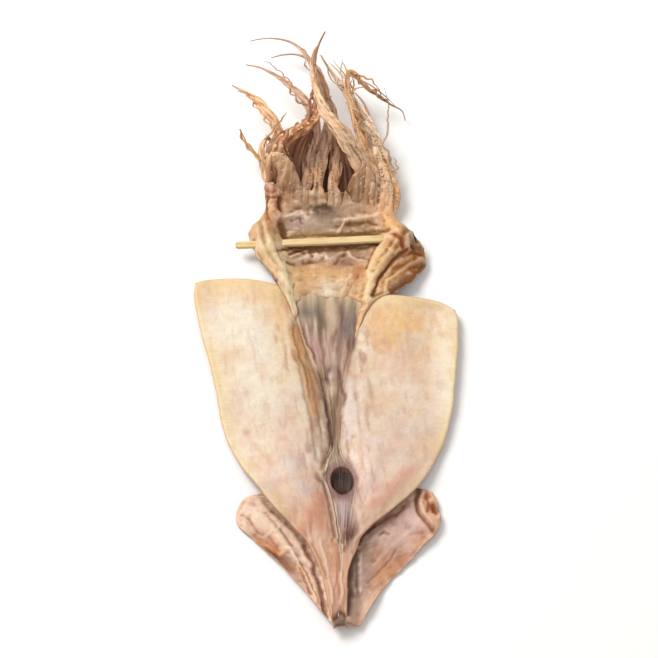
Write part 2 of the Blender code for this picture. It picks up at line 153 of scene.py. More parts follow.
RIDGE_LEFT = (
    (0, -1.2), (40, -1.8), (57, -3.5), (79, -6.5), (96, -10.5), (108, -9), (124, -5), (148, -8), (171, -15),
    (195, -23), (235, -30),
)
RIDGE_RIGHT = (
    (0, 1.2), (40, 2.2), (57, 5), (75, 8.5), (96, 11.5), (116, 3), (139, 3), (167, 7), (197, 13), (235, 19),
)
HOLE_AT = (2.0, 96.0)
HOLE_HALF = (7.0, 9.5)


def smooth(knots, at):
    """The smooth curve through (place, value) pairs, at the places asked for."""
    place, value = np.array(knots, float).T
    slope = np.gradient(value, place)
    i = np.clip(np.searchsorted(place, at) - 1, 0, len(place) - 2)
    gap = place[i + 1] - place[i]
    s = np.clip((at - place[i]) / gap, 0, 1)
    start = value[i] * (1 + 2 * s) * (1 - s) ** 2 + slope[i] * gap * s * (1 - s) ** 2
    return start + value[i + 1] * s * s * (3 - 2 * s) - slope[i + 1] * gap * s * s * (1 - s)


def ramp(value, low, high):
    """0 below low and 1 above high, with a smooth rise between."""
    s = np.clip((value - low) / (high - low), 0, 1)
    return s * s * (3 - 2 * s)


def within(value, low, full, falling, gone):
    """0 below low, 1 between full and falling, and 0 again beyond gone."""
    return ramp(value, low, full) * (1 - ramp(value, falling, gone))


def grain(u, v, size, seed, layers=3):
    """Smooth unevenness from about -1 to 1, whose broadest patches are this wide."""
    total, weight = 0.0, 1.0
    for layer in range(layers):
        lattice = np.random.default_rng(seed * 31 + layer).uniform(-1, 1, (128, 128))
        a, b = np.broadcast_arrays(u / size * 2**layer, v / size * 2**layer)
        i, j = np.floor(a).astype(int), np.floor(b).astype(int)
        s, t = a - i, b - j
        s, t = s * s * (3 - 2 * s), t * t * (3 - 2 * t)
        i, j, k, m = i % 128, j % 128, (i + 1) % 128, (j + 1) % 128
        low = lattice[i, j] * (1 - s) + lattice[k, j] * s
        high = lattice[i, m] * (1 - s) + lattice[k, m] * s
        total = total + weight * (low * (1 - t) + high * t)
        weight *= 0.5
    return total


def tone(red, green, blue):
    """The surface colour that looks like this sRGB value under the light over the table."""
    seen = np.array([red, green, blue]) / 255
    return np.where(seen <= 0.04045, seen / 12.92, ((seen + 0.055) / 1.055) ** 2.4) / LIT


def even(colour, like):
    """One sRGB colour all over a grid of this shape."""
    return np.broadcast_to(tone(*colour), (*np.shape(like), 3))


def wash(ground, place, colour):
    """Lays an sRGB colour over the ground as far as place, from 0 to 1, says."""
    return ground + (tone(*colour) - ground) * np.clip(place, 0, 1)[..., None]


def coats(ground, *layers):
    """Lays washes over the ground one after the other, each given as (how far, sRGB colour)."""
    for place, colour in layers:
        ground = wash(ground, place, colour)
    return ground


def blot(x, y, at, size, lean=0.0):
    """A soft oval spot, 1 in the middle; lean turns it, in degrees."""
    c, s = math.cos(math.radians(lean)), math.sin(math.radians(lean))
    u, v = c * (x - at[0]) + s * (y - at[1]), c * (y - at[1]) - s * (x - at[0])
    return np.exp(-((u / size[0]) ** 2 + (v / size[1]) ** 2) / 2)


def folds(u, v, size, seed, layers=3):
    """Sharp-crested folds of shrunken skin: 1 on a crest, down to -1 between crests."""
    return np.clip(1 - 3.4 * np.abs(grain(u, v, size, seed, layers)), -1, 1)


def paint_shade_and_highlight(tints, relief, depth, dark, light, share=0.8):
    """Paints shade into the hollows of a relief and a highlight on what stands above its surroundings."""
    around = relief
    for _ in range(10):
        wide = np.pad(around, 1, mode="edge")
        around = (wide[:-2, 1:-1] + wide[2:, 1:-1] + wide[1:-1, :-2] + wide[1:-1, 2:]) / 4
    above = (relief - around) / depth
    tints = wash(tints, share * ramp(-above, 0.05, 1.0), dark)
    return wash(tints, 0.8 * share * ramp(above, 0.05, 1.0), light)


def crease(x, y, route, width):
    """A soft-edged line, 1 along its route of (x, y) places."""
    near = np.full(x.shape, 1e9)
    for (ax, ay), (bx, by) in zip(route[:-1], route[1:]):
        t = np.clip(((x - ax) * (bx - ax) + (y - ay) * (by - ay)) / ((bx - ax) ** 2 + (by - ay) ** 2), 0, 1)
        near = np.minimum(near, np.hypot(x - ax - t * (bx - ax), y - ay - t * (by - ay)))
    return np.exp(-((near / width) ** 2))


def stained(tints, relief, x, y, marks):
    """Adds soft spots, each given as (middle, size, lean, colour, strength) and perhaps its rise."""
    for at, size, lean, colour, strength, *rise in marks:
        spot = blot(x, y, at, size, lean)
        tints = wash(tints, strength * spot, colour)
        if rise:
            relief = relief + rise[0] * spot
    return tints, relief


def creased(tints, relief, x, y, lines, drawn=crease):
    """Adds lines, each given as (route, width, rise, colour, strength)."""
    for route, width, rise, colour, strength in lines:
        line = drawn(x, y, route, width)
        tints = wash(tints, strength * line, colour)
        relief = relief + rise * line
    return tints, relief


def streak(x, y, route, width):
    """A soft line along a route of (y, x) places, which fades out at both ends."""
    route = sorted(route)
    (first, _), (last, _) = route[0], route[-1]
    fade = min(4.0, 0.3 * (last - first))
    ends = within(y, first - fade, first + fade, last - fade, last + fade)
    return np.exp(-(((x - smooth(route, y)) / width) ** 2)) * ends


def flesh(name, mottle=0.5, fibre=0.5, specks=0.2, rough=0.5, gloss=0.3, rich=1.12):
    """Dried squid flesh: its own tints, broken up by mottling, fibres and skin specks."""
    made = bpy.data.materials.new(name)
    made.use_nodes = True
    nodes, links = made.node_tree.nodes, made.node_tree.links
    shader = nodes["Principled BSDF"]
    tint = nodes.new("ShaderNodeAttribute")
    tint.attribute_name = "tint"
    lie = nodes.new("ShaderNodeAttribute")
    lie.attribute_name = "lie"

    def noise(scale, detail, stretch=(1.0, 1.0, 1.0), distort=0.0):
        """A cloudy pattern that follows the lie of the flesh."""
        spread = nodes.new("ShaderNodeVectorMath")
        spread.operation = "MULTIPLY"
        spread.inputs[1].default_value = stretch
        links.new(lie.outputs["Vector"], spread.inputs[0])
        node = nodes.new("ShaderNodeTexNoise")
        node.inputs["Scale"].default_value = scale
        node.inputs["Detail"].default_value = detail
        node.inputs["Distortion"].default_value = distort
        links.new(spread.outputs[0], node.inputs["Vector"])
        return node.outputs["Fac"]

    def between(value, low, high, to_low, to_high):
        """Turns a pattern's values from low to high into to_low to to_high."""
        node = nodes.new("ShaderNodeMapRange")
        sockets = ("From Min", "From Max", "To Min", "To Max")
        for socket, number in zip(sockets, (low, high, to_low, to_high)):
            node.inputs[socket].default_value = number
        links.new(value, node.inputs["Value"])
        return node.outputs["Result"]

    def lay(kind, share, under, over):
        """Mixes one colour over another as far as share says."""
        node = nodes.new("ShaderNodeMix")
        node.data_type = "RGBA"
        node.blend_type = kind
        for socket, value in (("Factor", share), ("A", under), ("B", over)):
            if isinstance(value, (float, tuple)):
                node.inputs[socket].default_value = value
            else:
                links.new(value, node.inputs[socket])
        return node.outputs["Result"]

    def rough_up(height, strength, distance):
        """Small unevenness, too fine for the mesh."""
        node = nodes.new("ShaderNodeBump")
        node.inputs["Strength"].default_value = strength
        node.inputs["Distance"].default_value = distance
        links.new(height, node.inputs["Height"])
        return node

    patches = noise(0.16, 5.0, distort=0.6)
    threads = noise(0.9, 4.0, (0.10, 1.0, 1.0), 0.3)
    pores = noise(1.6, 6.0)
    dots = nodes.new("ShaderNodeTexVoronoi")
    dots.inputs["Scale"].default_value = 0.75
    links.new(lie.outputs["Vector"], dots.inputs["Vector"])
    flecks = noise(0.45, 6.0, distort=1.0)
    colour = tint.outputs["Color"]
    for kind, pattern, low, high, share, over in (
        ("MULTIPLY", patches, 0.42, 0.68, (0.0, 0.55 * mottle), (0.86, 0.70, 0.62, 1.0)),
        ("MULTIPLY", threads, 0.48, 0.72, (0.0, 0.60 * fibre), (0.80, 0.66, 0.54, 1.0)),
        ("MULTIPLY", flecks, 0.50, 0.66, (0.0, 0.70 * mottle), (0.86, 0.72, 0.64, 1.0)),
        ("SCREEN", pores, 0.50, 0.75, (0.0, 0.30), (0.22, 0.15, 0.09, 1.0)),
        ("MULTIPLY", dots.outputs["Distance"], 0.12, 0.24, (specks, 0.0), (0.45, 0.22, 0.18, 1.0)),
    ):
        colour = lay(kind, between(pattern, low, high, *share), colour, over)
    richer = nodes.new("ShaderNodeHueSaturation")
    richer.inputs["Saturation"].default_value = rich
    links.new(colour, richer.inputs["Color"])
    links.new(richer.outputs["Color"], shader.inputs["Base Color"])
    links.new(between(pores, 0.35, 0.7, rough - 0.10, rough + 0.14), shader.inputs["Roughness"])
    deep = rough_up(threads, 0.45, 0.0005)
    fine = rough_up(pores, 0.35, 0.0003)
    links.new(deep.outputs["Normal"], fine.inputs["Normal"])
    links.new(fine.outputs["Normal"], shader.inputs["Normal"])
    shader.inputs["Specular IOR Level"].default_value = gloss
    shader.inputs["Subsurface Weight"].default_value = 0.12
    shader.inputs["Subsurface Radius"].default_value = (0.003, 0.0016, 0.0009)
    shader.inputs["Subsurface Scale"].default_value = 1.0
    return made


def piece(name, points, faces, tints, lies, finish, node="squid"):
    """One piece of these plan points, with its tints and the lie of its fibres on every point."""
    used = np.unique(np.concatenate([np.ravel(f) for f in faces]))
    place = np.zeros(len(points), int)
    place[used] = np.arange(len(used))
    mesh = bpy.data.meshes.new(name)
    points, tints, lies = (np.asarray(rows, float)[used] for rows in (points, tints, lies))
    points[:, 2] = np.maximum(points[:, 2], LEAST_HEIGHT)
    world = ((points - ORIGIN) * MM).tolist()
    mesh.from_pydata(world, [], [place[row].tolist() for block in faces for row in block])
    tints = np.concatenate([tints, np.ones((len(used), 1))], 1)
    mesh.attributes.new("tint", "FLOAT_COLOR", "POINT").data.foreach_set("color", tints.ravel())
    mesh.attributes.new("lie", "FLOAT_VECTOR", "POINT").data.foreach_set("vector", lies.ravel())
    mesh.shade_smooth()
    mesh.materials.append(finish)
    made = bpy.data.objects.new(name, mesh)
    scene.collection.objects.link(made)
    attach(made, "root")
    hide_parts(node)
    return made


def grid_faces(rows, columns, start=0, closed=False):
    """The four-sided faces of a grid of points; a closed grid joins its last column to its first."""
    index = start + np.arange(rows * columns).reshape(rows, columns)
    if closed:
        index = np.concatenate([index, index[:, :1]], 1)
    return np.stack([index[:-1, :-1], index[:-1, 1:], index[1:, 1:], index[1:, :-1]], -1).reshape(-1, 4)


def two_sides(middle, thick, upper_relief, lower_relief):
    """The upper and lower side of a sheet round its middle surface, neither below the table."""
    normal = np.cross(np.gradient(middle, axis=1), np.gradient(middle, axis=0))
    normal /= np.maximum(np.linalg.norm(normal, axis=2, keepdims=True), 1e-9)
    upper = middle + normal * (thick / 2 + upper_relief)[..., None]
    lower = middle - normal * (thick / 2 + lower_relief)[..., None]
    lower[..., 2] = np.maximum(lower[..., 2], LEAST_HEIGHT)
    upper[..., 2] = np.maximum(upper[..., 2], lower[..., 2] + 0.3 * thick)
    return upper, lower


def rounded(from_edge):
    """The share of its thickness that a sheet has this far from its rounded edge."""
    return 0.3 + 0.7 * np.sqrt(1 - (1 - np.clip(from_edge / EDGE_ROUND, 0, 1)) ** 2)


def rim_faces(rows, columns):
    """The narrow faces that close a two-sided sheet all round."""
    index = np.arange(rows * columns).reshape(rows, columns)
    rim = np.concatenate([index[0], index[1:, -1], index[-1, -2::-1], index[-2:0:-1, 0]])
    after, count = np.roll(rim, -1), rows * columns
    return np.stack([after, rim, rim + count, after + count], -1)


def mantle_middle(x, y):
    """Height of the mantle's middle surface: two crowned lobes beside a sunken strip."""
    rim = np.where(x < 0, smooth(MANTLE_LEFT, y), smooth(MANTLE_RIGHT, y))
    ridge = np.where(x < 0, -smooth(RIDGE_LEFT, y), smooth(RIDGE_RIGHT, y))
    out = np.clip((np.abs(x) - ridge) / np.maximum(rim - ridge, 0.1), 0, 1)
    breadth = ramp(rim, 6, 55)
    crown = LOBE_CROWN * np.sin(np.pi * out**0.75) * breadth
    sunk = STRIP_DEPTH * ramp(ridge - np.abs(x), -1.5, 2.5) * ramp(y, 20, 60)
    lift = TAIL_LIFT * (1 - ramp(y, 70, 130))
    wave = LOBE_WAVE * np.sin(0.058 * y + 1.1) * np.sin(0.036 * x + 0.6) * out
    uneven = 0.55 + 0.45 * np.sin(0.031 * y + np.where(x < 0, 0.4, 2.0))
    curl = RIM_CURL * ramp(out, 0.72, 1.0) * uneven
    return REST_HEIGHT + crown - sunk + lift + wave + curl * breadth


# Tints of the upper side: (middle, size, lean, colour, strength)
MANTLE_BLOTS = (
    ((-60, 231), (40, 9), 0, (249, 202, 140), 0.95), ((-36, 208), (10, 27), 6, (255, 210, 152), 0.95),
    ((-84, 205), (6, 40), 6, (246, 212, 160), 0.7), ((-64, 130), (7, 34), 28, (246, 214, 172), 0.6),
    ((-62, 205), (14, 14), 0, (255, 244, 222), 0.7), ((-54, 180), (14, 32), 0, (253, 245, 232), 0.8),
    ((-24, 128), (9, 26), 0, (240, 222, 210), 0.75), ((-34, 97), (22, 14), 0, (238, 198, 174), 0.7),
    ((-16, 65), (10, 9), -20, (216, 156, 133), 0.85), ((-14, 90), (6, 9), 0, (226, 205, 196), 0.5),
    ((44, 203), (29, 19), 0, (255, 213, 160), 0.95), ((28, 187), (9, 15), 0, (238, 186, 142), 0.75),
    ((50, 194), (4, 7), -25, (200, 160, 132), 0.6), ((43, 187), (3, 3), 0, (208, 170, 142), 0.45),
    ((73, 168), (7, 44), 0, (255, 252, 230), 0.95), ((34, 130), (20, 18), 0, (253, 230, 216), 0.65),
    ((18, 160), (6, 13), 0, (212, 187, 157), 0.6), ((40, 105), (18, 12), 30, (243, 213, 196), 0.5),
    ((31, 88), (14, 8), 30, (238, 196, 178), 0.5), ((12, 72), (9, 8), 0, (234, 203, 197), 0.55),
    ((-12, 124), (3.4, 20), -4, (186, 154, 130), 0.75), ((60, 221), (9, 2.0), -24, (214, 172, 128), 0.6),
    ((36, 214), (14, 6), 0, (250, 210, 158), 0.6), ((-18, 62), (12, 12), 0, (226, 172, 150), 0.5),
    ((-66, 176), (8, 40), 0, (252, 230, 190), 0.45), ((-56, 125), (1.3, 1.6), 0, (205, 170, 140), 0.7),
    ((-48, 131), (2.2, 1.2), 20, (214, 185, 160), 0.5), ((12, 205), (9, 26), 0, (206, 184, 160), 0.5),
)
# What marks the sunken strip and the ridges beside it: (route of (y, x), width, rise, colour, strength).
# The pale lines on raised ridges are partly painted highlight, and the dark lines in sunken creases partly
# painted shade.
STRIP_LINES = (
    (((206, -25), (190, -24), (178, -22), (165, -18), (150, -15), (138, -14)),
     4.6, 1.2, (198, 150, 110), 0.85),
    (((208, -28), (190, -26), (170, -20.5), (150, -17)), 0.8, -0.5, (142, 98, 70), 0.75),
    (((200, -24), (180, -20.5), (160, -15.5), (142, -12.5)), 0.7, 0.4, (236, 196, 154), 0.7),
    (((192, -27.5), (176, -24), (160, -20), (140, -17)), 0.8, 0.4, (232, 192, 150), 0.6),
    (((176, -20), (158, -15.2), (140, -12.5), (122, -10)), 0.8, -0.4, (134, 96, 74), 0.7),
    (((182, -26), (165, -22.5), (150, -19.5), (135, -17), (106, -13.5)), 1.0, -0.5, (158, 119, 90), 0.65),
    (((214, -25), (200, -21), (188, -17), (178, -13), (165, -10), (152, -6.5)),
     1.1, 0.8, (233, 206, 170), 0.75),
    (((206, -21.5), (195, -18), (182, -12.5)), 1.0, -0.6, (116, 82, 70), 0.8),
    (((174, -12), (160, -8.5), (150, -6.5), (135, -5), (117, -3)), 1.5, -0.8, (94, 64, 54), 0.9),
    (((176, 1.5), (165, 3.5), (155, 4.6), (149, 4)), 1.4, -0.7, (112, 78, 64), 0.9),
    (((150, 3), (130, 1.2), (112, 0.5)), 0.8, -0.4, (148, 116, 94), 0.65),
    (((158, 0), (145, -1), (126, -3)), 3.2, -0.3, (120, 96, 80), 0.75),
    (((205, 0.5), (194, 0)), 1.5, -0.5, (128, 96, 80), 0.8),
    (((199, -7.5), (176, -7)), 1.3, -0.5, (148, 116, 102), 0.7),
    (((197, 9.5), (189, 10)), 1.2, -0.4, (140, 112, 92), 0.6),
    (((166, 9), (145, 8), (122, 6)), 2.2, 0.4, (224, 207, 207), 0.55),
    (((182, 12), (150, 13), (125, 14)), 1.2, -0.2, (206, 180, 166), 0.5),
    (((118, -2.5), (106, -8), (98, -12)), 1.1, 1.0, (242, 223, 190), 0.85),
    (((116, -5), (104, -11)), 0.9, -0.5, (148, 118, 84), 0.7),
    (((99, -12), (90, -9), (80, -6), (70, -4.6), (55, -3), (44, -1)), 1.2, 1.0, (240, 215, 188), 0.85),
    (((97, -13), (80, -7.8), (66, -6.2), (52, -4.5)), 0.8, -0.5, (124, 94, 76), 0.75),
    (((81, -2.6), (65, -1.4), (48, 0.6)), 0.9, 0.8, (241, 213, 190), 0.75),
    (((72, -3.4), (50, -0.9)), 0.6, -0.4, (138, 104, 88), 0.6),
)
STRIP_BLOTS = (
    ((-17, 219), (6.0, 6.0), 0, (132, 122, 112), 0.9), ((-9.5, 214), (1.9, 10), 0, (84, 66, 50), 0.9),
    ((-2.0, 219), (4.2, 11), 0, (216, 192, 164), 0.95), ((-1.0, 207), (2.2, 5), 0, (212, 188, 162), 0.8),
    ((4.6, 211), (1.9, 9), 8, (88, 62, 50), 0.9), ((9, 208), (3.0, 7), 0, (142, 130, 128), 0.85),
    ((13, 203), (1.3, 10), 0, (96, 66, 60), 0.85), ((-13, 190), (3.5, 9), 20, (204, 168, 164), 0.6),
    ((-4, 189), (2.2, 9), 0, (218, 192, 180), 0.6), ((5, 190), (3.5, 12), 0, (176, 150, 138), 0.6),
    ((-4, 173), (1.8, 2.4), 30, (92, 54, 46), 0.9), ((-6, 167), (2.2, 1.8), -30, (98, 60, 50), 0.9),
    ((-2.5, 169), (1.3, 2.4), 0, (240, 216, 204), 0.8), ((-3.5, 158), (1.8, 3.2), 0, (232, 212, 184), 0.75),
    ((0.5, 178), (2.2, 5.0), 0, (214, 188, 182), 0.6), ((3.6, 77), (3.8, 7.0), 0, (198, 178, 180), 0.8),
    ((5.4, 60), (3.6, 6.8), -8, (90, 52, 42), 1.0), ((-6, 108), (3.0, 6.0), -35, (206, 182, 160), 0.6),
)
# Folds and stains near the tail, the same way but with (x, y) routes; pale raised folds are partly painted
# highlight and dark sunken ones partly painted shade
TAIL_LINES = (
    (((-8, 2), (-3, 7), (-1, 9), (2, 6), (6, 1)), 1.6, -0.5, (78, 54, 46), 0.95),
    (((-5, -2), (0, 3), (5, -2)), 2.6, 0.0, (112, 92, 84), 0.9),
    (((-2, 12), (-3, 24), (-3.4, 40), (-4, 52)), 1.1, 0.5, (214, 156, 138), 0.7),
    (((-5.5, 14), (-7.5, 28), (-9, 40), (-12, 54)), 0.9, 0.6, (248, 214, 188), 0.8),
    (((-1, 14), (0, 28), (0.4, 42), (1.6, 52)), 1.0, 0.7, (248, 214, 190), 0.8),
    (((-2.5, 36), (-6, 46), (-5, 54)), 2.4, 0.0, (206, 156, 120), 0.6),
    (((-9, 30), (-13, 42), (-17, 52)), 1.1, -0.5, (196, 142, 116), 0.75),
    (((-12, 64), (-15, 72), (-12, 80)), 5.5, 0.0, (212, 146, 122), 0.65),
    (((-26, 58), (-21, 64), (-17, 74)), 3.0, 0.3, (230, 176, 152), 0.6),
    (((7, 50), (10, 58), (14, 64)), 1.5, 0.5, (240, 206, 190), 0.7),
    (((2, 48), (3.4, 54)), 0.9, -0.4, (160, 116, 100), 0.6),
    (((20, 78), (34, 90), (46, 104)), 4.0, 0.2, (238, 178, 160), 0.5),
    (((14, 84), (22, 98), (28, 112)), 3.0, -0.2, (214, 190, 184), 0.45),
    (((-22, 86), (-26, 96), (-28, 108)), 5.0, 0.0, (218, 200, 196), 0.5),
)

lobe = np.linspace(1, STRIP_SHARE, LOBE_COLUMNS + 1)
strip = np.linspace(-STRIP_SHARE, STRIP_SHARE, STRIP_COLUMNS + 1)[1:-1]
column = np.concatenate([-lobe, strip, lobe[::-1]])
share = np.linspace(0, 1, MANTLE_ROWS + 1)
front = smooth(MANTLE_FRONT, column)[None, :]
y = share[:, None] * front
tail_end = 2.2 * (1 - column**2) - 0.9 + 0.35 * grain(column * 9, 0.0, 2.2, 9)
y = y + (1 - ramp(y, 0, 14)) * tail_end
left, right = smooth(RIDGE_LEFT, y), smooth(RIDGE_RIGHT, y)
out = np.clip((np.abs(column) - STRIP_SHARE) / (1 - STRIP_SHARE), 0, 1)[None, :]
inner = left + (right - left) * (np.clip(column, -STRIP_SHARE, STRIP_SHARE) / STRIP_SHARE + 1) / 2
rim = np.where(column < 0, -smooth(MANTLE_LEFT, y), smooth(MANTLE_RIGHT, y))
x = inner + (rim - inner) * out
from_edge = np.minimum(np.abs(rim - x), 0.8 * (front - y) + 0.01)
rough_edge = 0.5 * grain(x, y, 16, 5) * (1 - ramp(from_edge, 0, 5))
x = x + np.sign(x) * rough_edge * ramp(y, 10, 60)

# The hole: its rim is drawn to an oval, then the faces inside it go
hole_x, hole_y = (x - HOLE_AT[0]) / HOLE_HALF[0], (y - HOLE_AT[1]) / HOLE_HALF[1]
rows, columns = x.shape
count = rows * columns
quads = grid_faces(rows, columns)
middle_x, middle_y = hole_x.ravel()[quads].mean(1), hole_y.ravel()[quads].mean(1)
inside = middle_x**2 + middle_y**2 < 1
edges = np.stack([quads[inside], np.roll(quads[inside], -1, axis=1)], -1).reshape(-1, 2)
known = {tuple(edge) for edge in edges}
following = {a: b for a, b in known if (b, a) not in known}
rim_loop = [min(following)]
while following[rim_loop[-1]] != rim_loop[0]:
    rim_loop.append(following[rim_loop[-1]])
rim_loop = np.array(rim_loop)
reach = np.hypot(hole_x, hole_y)
for places, middle in ((x, HOLE_AT[0]), (y, HOLE_AT[1])):
    drawn = places.ravel()  # the same numbers in one row, so the grid itself changes
    drawn[rim_loop] = middle + (drawn[rim_loop] - middle) / reach.ravel()[rim_loop]

# Colour of the lobes: warm stains, a fan of rays from the tail, creases, and fibres beside the strip
wander_x, wander_y = x + 1.5 * grain(x, y, 13, 3), y + 3.0 * grain(x, y, 17, 4)
in_strip = ramp(np.minimum(x - left, right - x), -3.0, 2.5) * ramp(y, 46, 62)
from_ridge = np.minimum(np.abs(x - left), np.abs(x - right))
tints = coats(
    even((249, 235, 212), x),
    (ramp(x, 4, 28), (250, 227, 206)),
    (0.65 * (1 - ramp(y, 75, 150)), (241, 202, 182)),
)
tints, _ = stained(tints, 0.0, wander_x, wander_y, MANTLE_BLOTS)
cloud, haze = grain(x, y, 15, 22, 4), grain(x, y, 34, 23, 3)
stain, lilac = grain(x + 200, y, 11, 27, 4), grain(x, y + 300, 19, 28, 3)
bearing, distance = np.arctan2(x - 1, y - 38), np.hypot(x - 1, y - 38)
rays, low_down = grain(bearing * 62, distance / 16, 3.0, 25, 3), within(y, 40, 62, 105, 165)
fine, beside_strip = grain(x, y / 1.5, 2.8, 36, 2), 1 - ramp(from_ridge, 0, 18)
short = grain(x + y / 9, y / 4, 2.4, 38, 3)
near_strip = (1 - ramp(from_ridge, 2, 26)) * within(y, 60, 90, 190, 215)
creases = ramp(1 - np.abs(grain(x, y / 3, 8, 24, 4)), 0.93, 1.0)
tints = coats(
    tints,
    (0.42 * ramp(cloud, 0.0, 0.9), (255, 248, 234)),
    (0.36 * ramp(-cloud, 0.0, 0.9), (242, 202, 164)),
    (0.30 * ramp(haze, 0.1, 1.0), (251, 226, 178)),
    (0.30 * ramp(-haze, 0.1, 1.0), (238, 210, 202)),
    (0.32 * ramp(stain, 0.25, 1.0) * (1 - ramp(y, 150, 215)), (236, 196, 174)),
    (0.35 * ramp(lilac, 0.2, 1.0) * (1 - ramp(y, 120, 170)), (222, 202, 202)),
    (0.30 * ramp(-stain, 0.3, 1.0), (240, 220, 176)),
    (0.26 * low_down * ramp(rays, 0.15, 1.0), (226, 164, 146)),
    (0.26 * low_down * ramp(-rays, 0.15, 1.0), (253, 232, 216)),
    ((0.08 + 0.36 * beside_strip) * ramp(-fine, 0.0, 0.9), (208, 162, 136)),
    (0.22 * ramp(fine, 0.1, 0.9), (255, 246, 230)),
    (0.80 * near_strip * ramp(-short, 0.15, 0.8), (168, 130, 120)),
    (0.48 * near_strip * ramp(short, 0.15, 0.9), (255, 246, 238)),
    (0.30 * ramp(-short, 0.2, 0.9), (214, 176, 160)),
    (0.12 * creases, (196, 150, 118)),
    (0.7 * (1 - ramp(y, 34, 84)), (226, 176, 150)),
    (0.6 * (1 - ramp(y, 4, 34)), (196, 150, 128)),
    (0.9 * (1 - ramp(y, -1, 11)), (122, 96, 82)),
)

# Colour of the strip: grey-brown, streaked lengthwise
across_strip = (x - (left + right) / 2) / np.maximum(right - left, 4)
strip_streaks = grain(across_strip * 30, y / 9, 2.6, 14, 3)
strip_threads = grain(across_strip * 70, y / 7, 2.4, 37, 3)
strip_tints = coats(
    even((152, 130, 114), x),
    (within(y, 172, 196, 196, 206), (180, 150, 138)),
    (within(y, 118, 130, 150, 165), (190, 156, 136)),
    (1 - ramp(y, 104, 120), (204, 176, 164)),
    (0.75 * ramp(-strip_streaks, 0.0, 0.9), (92, 66, 56)),
    (0.60 * ramp(strip_streaks, 0.0, 0.9), (218, 186, 166)),
    (0.75 * ramp(-strip_threads, 0.1, 0.8), (68, 44, 34)),
    (0.50 * ramp(strip_threads, 0.1, 0.8), (228, 204, 188)),
)
strip_share = in_strip * (0.85 + 0.15 * grain(x, y / 4, 4, 8))
tints = tints + (strip_tints - tints) * strip_share[..., None]

# Relief, the folds of the tail, then the lines and stains that lie over all of it
relief = 0.50 * grain(x, y, 38, 11, 2) + 0.24 * grain(x, y, 9, 12) + 0.06 * grain(x / 7, y, 2.6, 13, 2)
relief = relief - 0.06 * creases + 0.08 * low_down * rays
relief = relief + in_strip * (0.50 * strip_streaks + 0.16 * strip_threads)
tail_folds = within(y, -5, 12, 50, 96)
folded = folds(x * 0.8 + 1.6 * grain(x, y, 12, 17), y / 7, 6.0, 16)
relief = relief + 0.35 * tail_folds * folded
tints = coats(
    tints,
    (0.28 * tail_folds * ramp(-folded, 0.0, 0.9), (196, 142, 122)),
    (0.22 * tail_folds * ramp(folded, 0.2, 1.0), (246, 210, 184)),
)
# Painted shade in the hollows of the relief and painted highlight on its rises
tints = paint_shade_and_highlight(tints, relief, 0.40, (186, 140, 112), (255, 244, 226), 0.5)
tints = coats(
    tints,
    (0.30 * in_strip * within(y, 118, 132, 192, 204), (180, 128, 92)),
    (0.26 * in_strip * within(y, 110, 122, 134, 148), (222, 184, 158)),
)
tints, relief = stained(tints, relief, wander_x, wander_y, STRIP_BLOTS)
near_x = x + 0.8 * grain(x / 3, y, 6, 15)
tints, relief = creased(tints, relief, near_x, y, STRIP_LINES, streak)
tints, relief = creased(tints, relief, near_x, y, TAIL_LINES)

# The margin is paler, partly its own flesh and partly a painted highlight along its rolled edge, and a
# little rolled, its very edge brown; the skin round the hole is torn and dips, and painted shade darkens it
# towards the rim
edge_patches = 0.55 + 0.45 * grain(x, y, 22, 26, 2)
relief = relief + 0.30 * np.exp(-(((from_edge - 1.8) / 1.3) ** 2)) * ramp(y, 40, 90) * edge_patches
pale_margin_and_highlight, brown_edge = np.exp(-((from_edge / 6.5) ** 2)), np.exp(-((from_edge / 0.7) ** 2))
tints = wash(tints, 0.75 * pale_margin_and_highlight * ramp(y, 60, 110) * edge_patches, (253, 232, 186))
tints = wash(tints, 0.60 * brown_edge, (214, 166, 116))
tints = tints * (1 + 0.10 * ramp(x, 48, 74))[..., None]
reach = np.hypot((x - HOLE_AT[0]) / HOLE_HALF[0], (y - HOLE_AT[1]) / HOLE_HALF[1])
# Painted shade round the hole, darkest at its rim
tints = coats(
    tints,
    (0.80 * (1 - ramp(reach, 1.05, 1.75)), (160, 126, 120)),
    (0.75 * blot(x, y, (1.5, 86), (5, 2.6)), (138, 108, 106)),
    (0.95 * (1 - ramp(reach, 0.98, 1.12)), (84, 54, 48)),
)
relief = relief - 0.8 * (1 - ramp(reach, 0.95, 1.6))

# The lower side keeps its skin, blotched with brown
middle = np.stack([x, y, mantle_middle(x, y)], -1)
skin_relief = 0.14 * grain(x, y, 7, 31) + 0.05 * grain(x / 5, y, 2.5, 32, 2)
upper, lower = two_sides(middle, MANTLE_THICK * rounded(from_edge), relief, skin_relief)
skin = coats(
    even((196, 146, 118), x),
    (0.8 * ramp(grain(x, y, 26, 33), -0.2, 0.8), (158, 104, 88)),
    (0.5 * ramp(grain(x, y / 2, 11, 34), 0.2, 0.9), (226, 190, 160)),
)

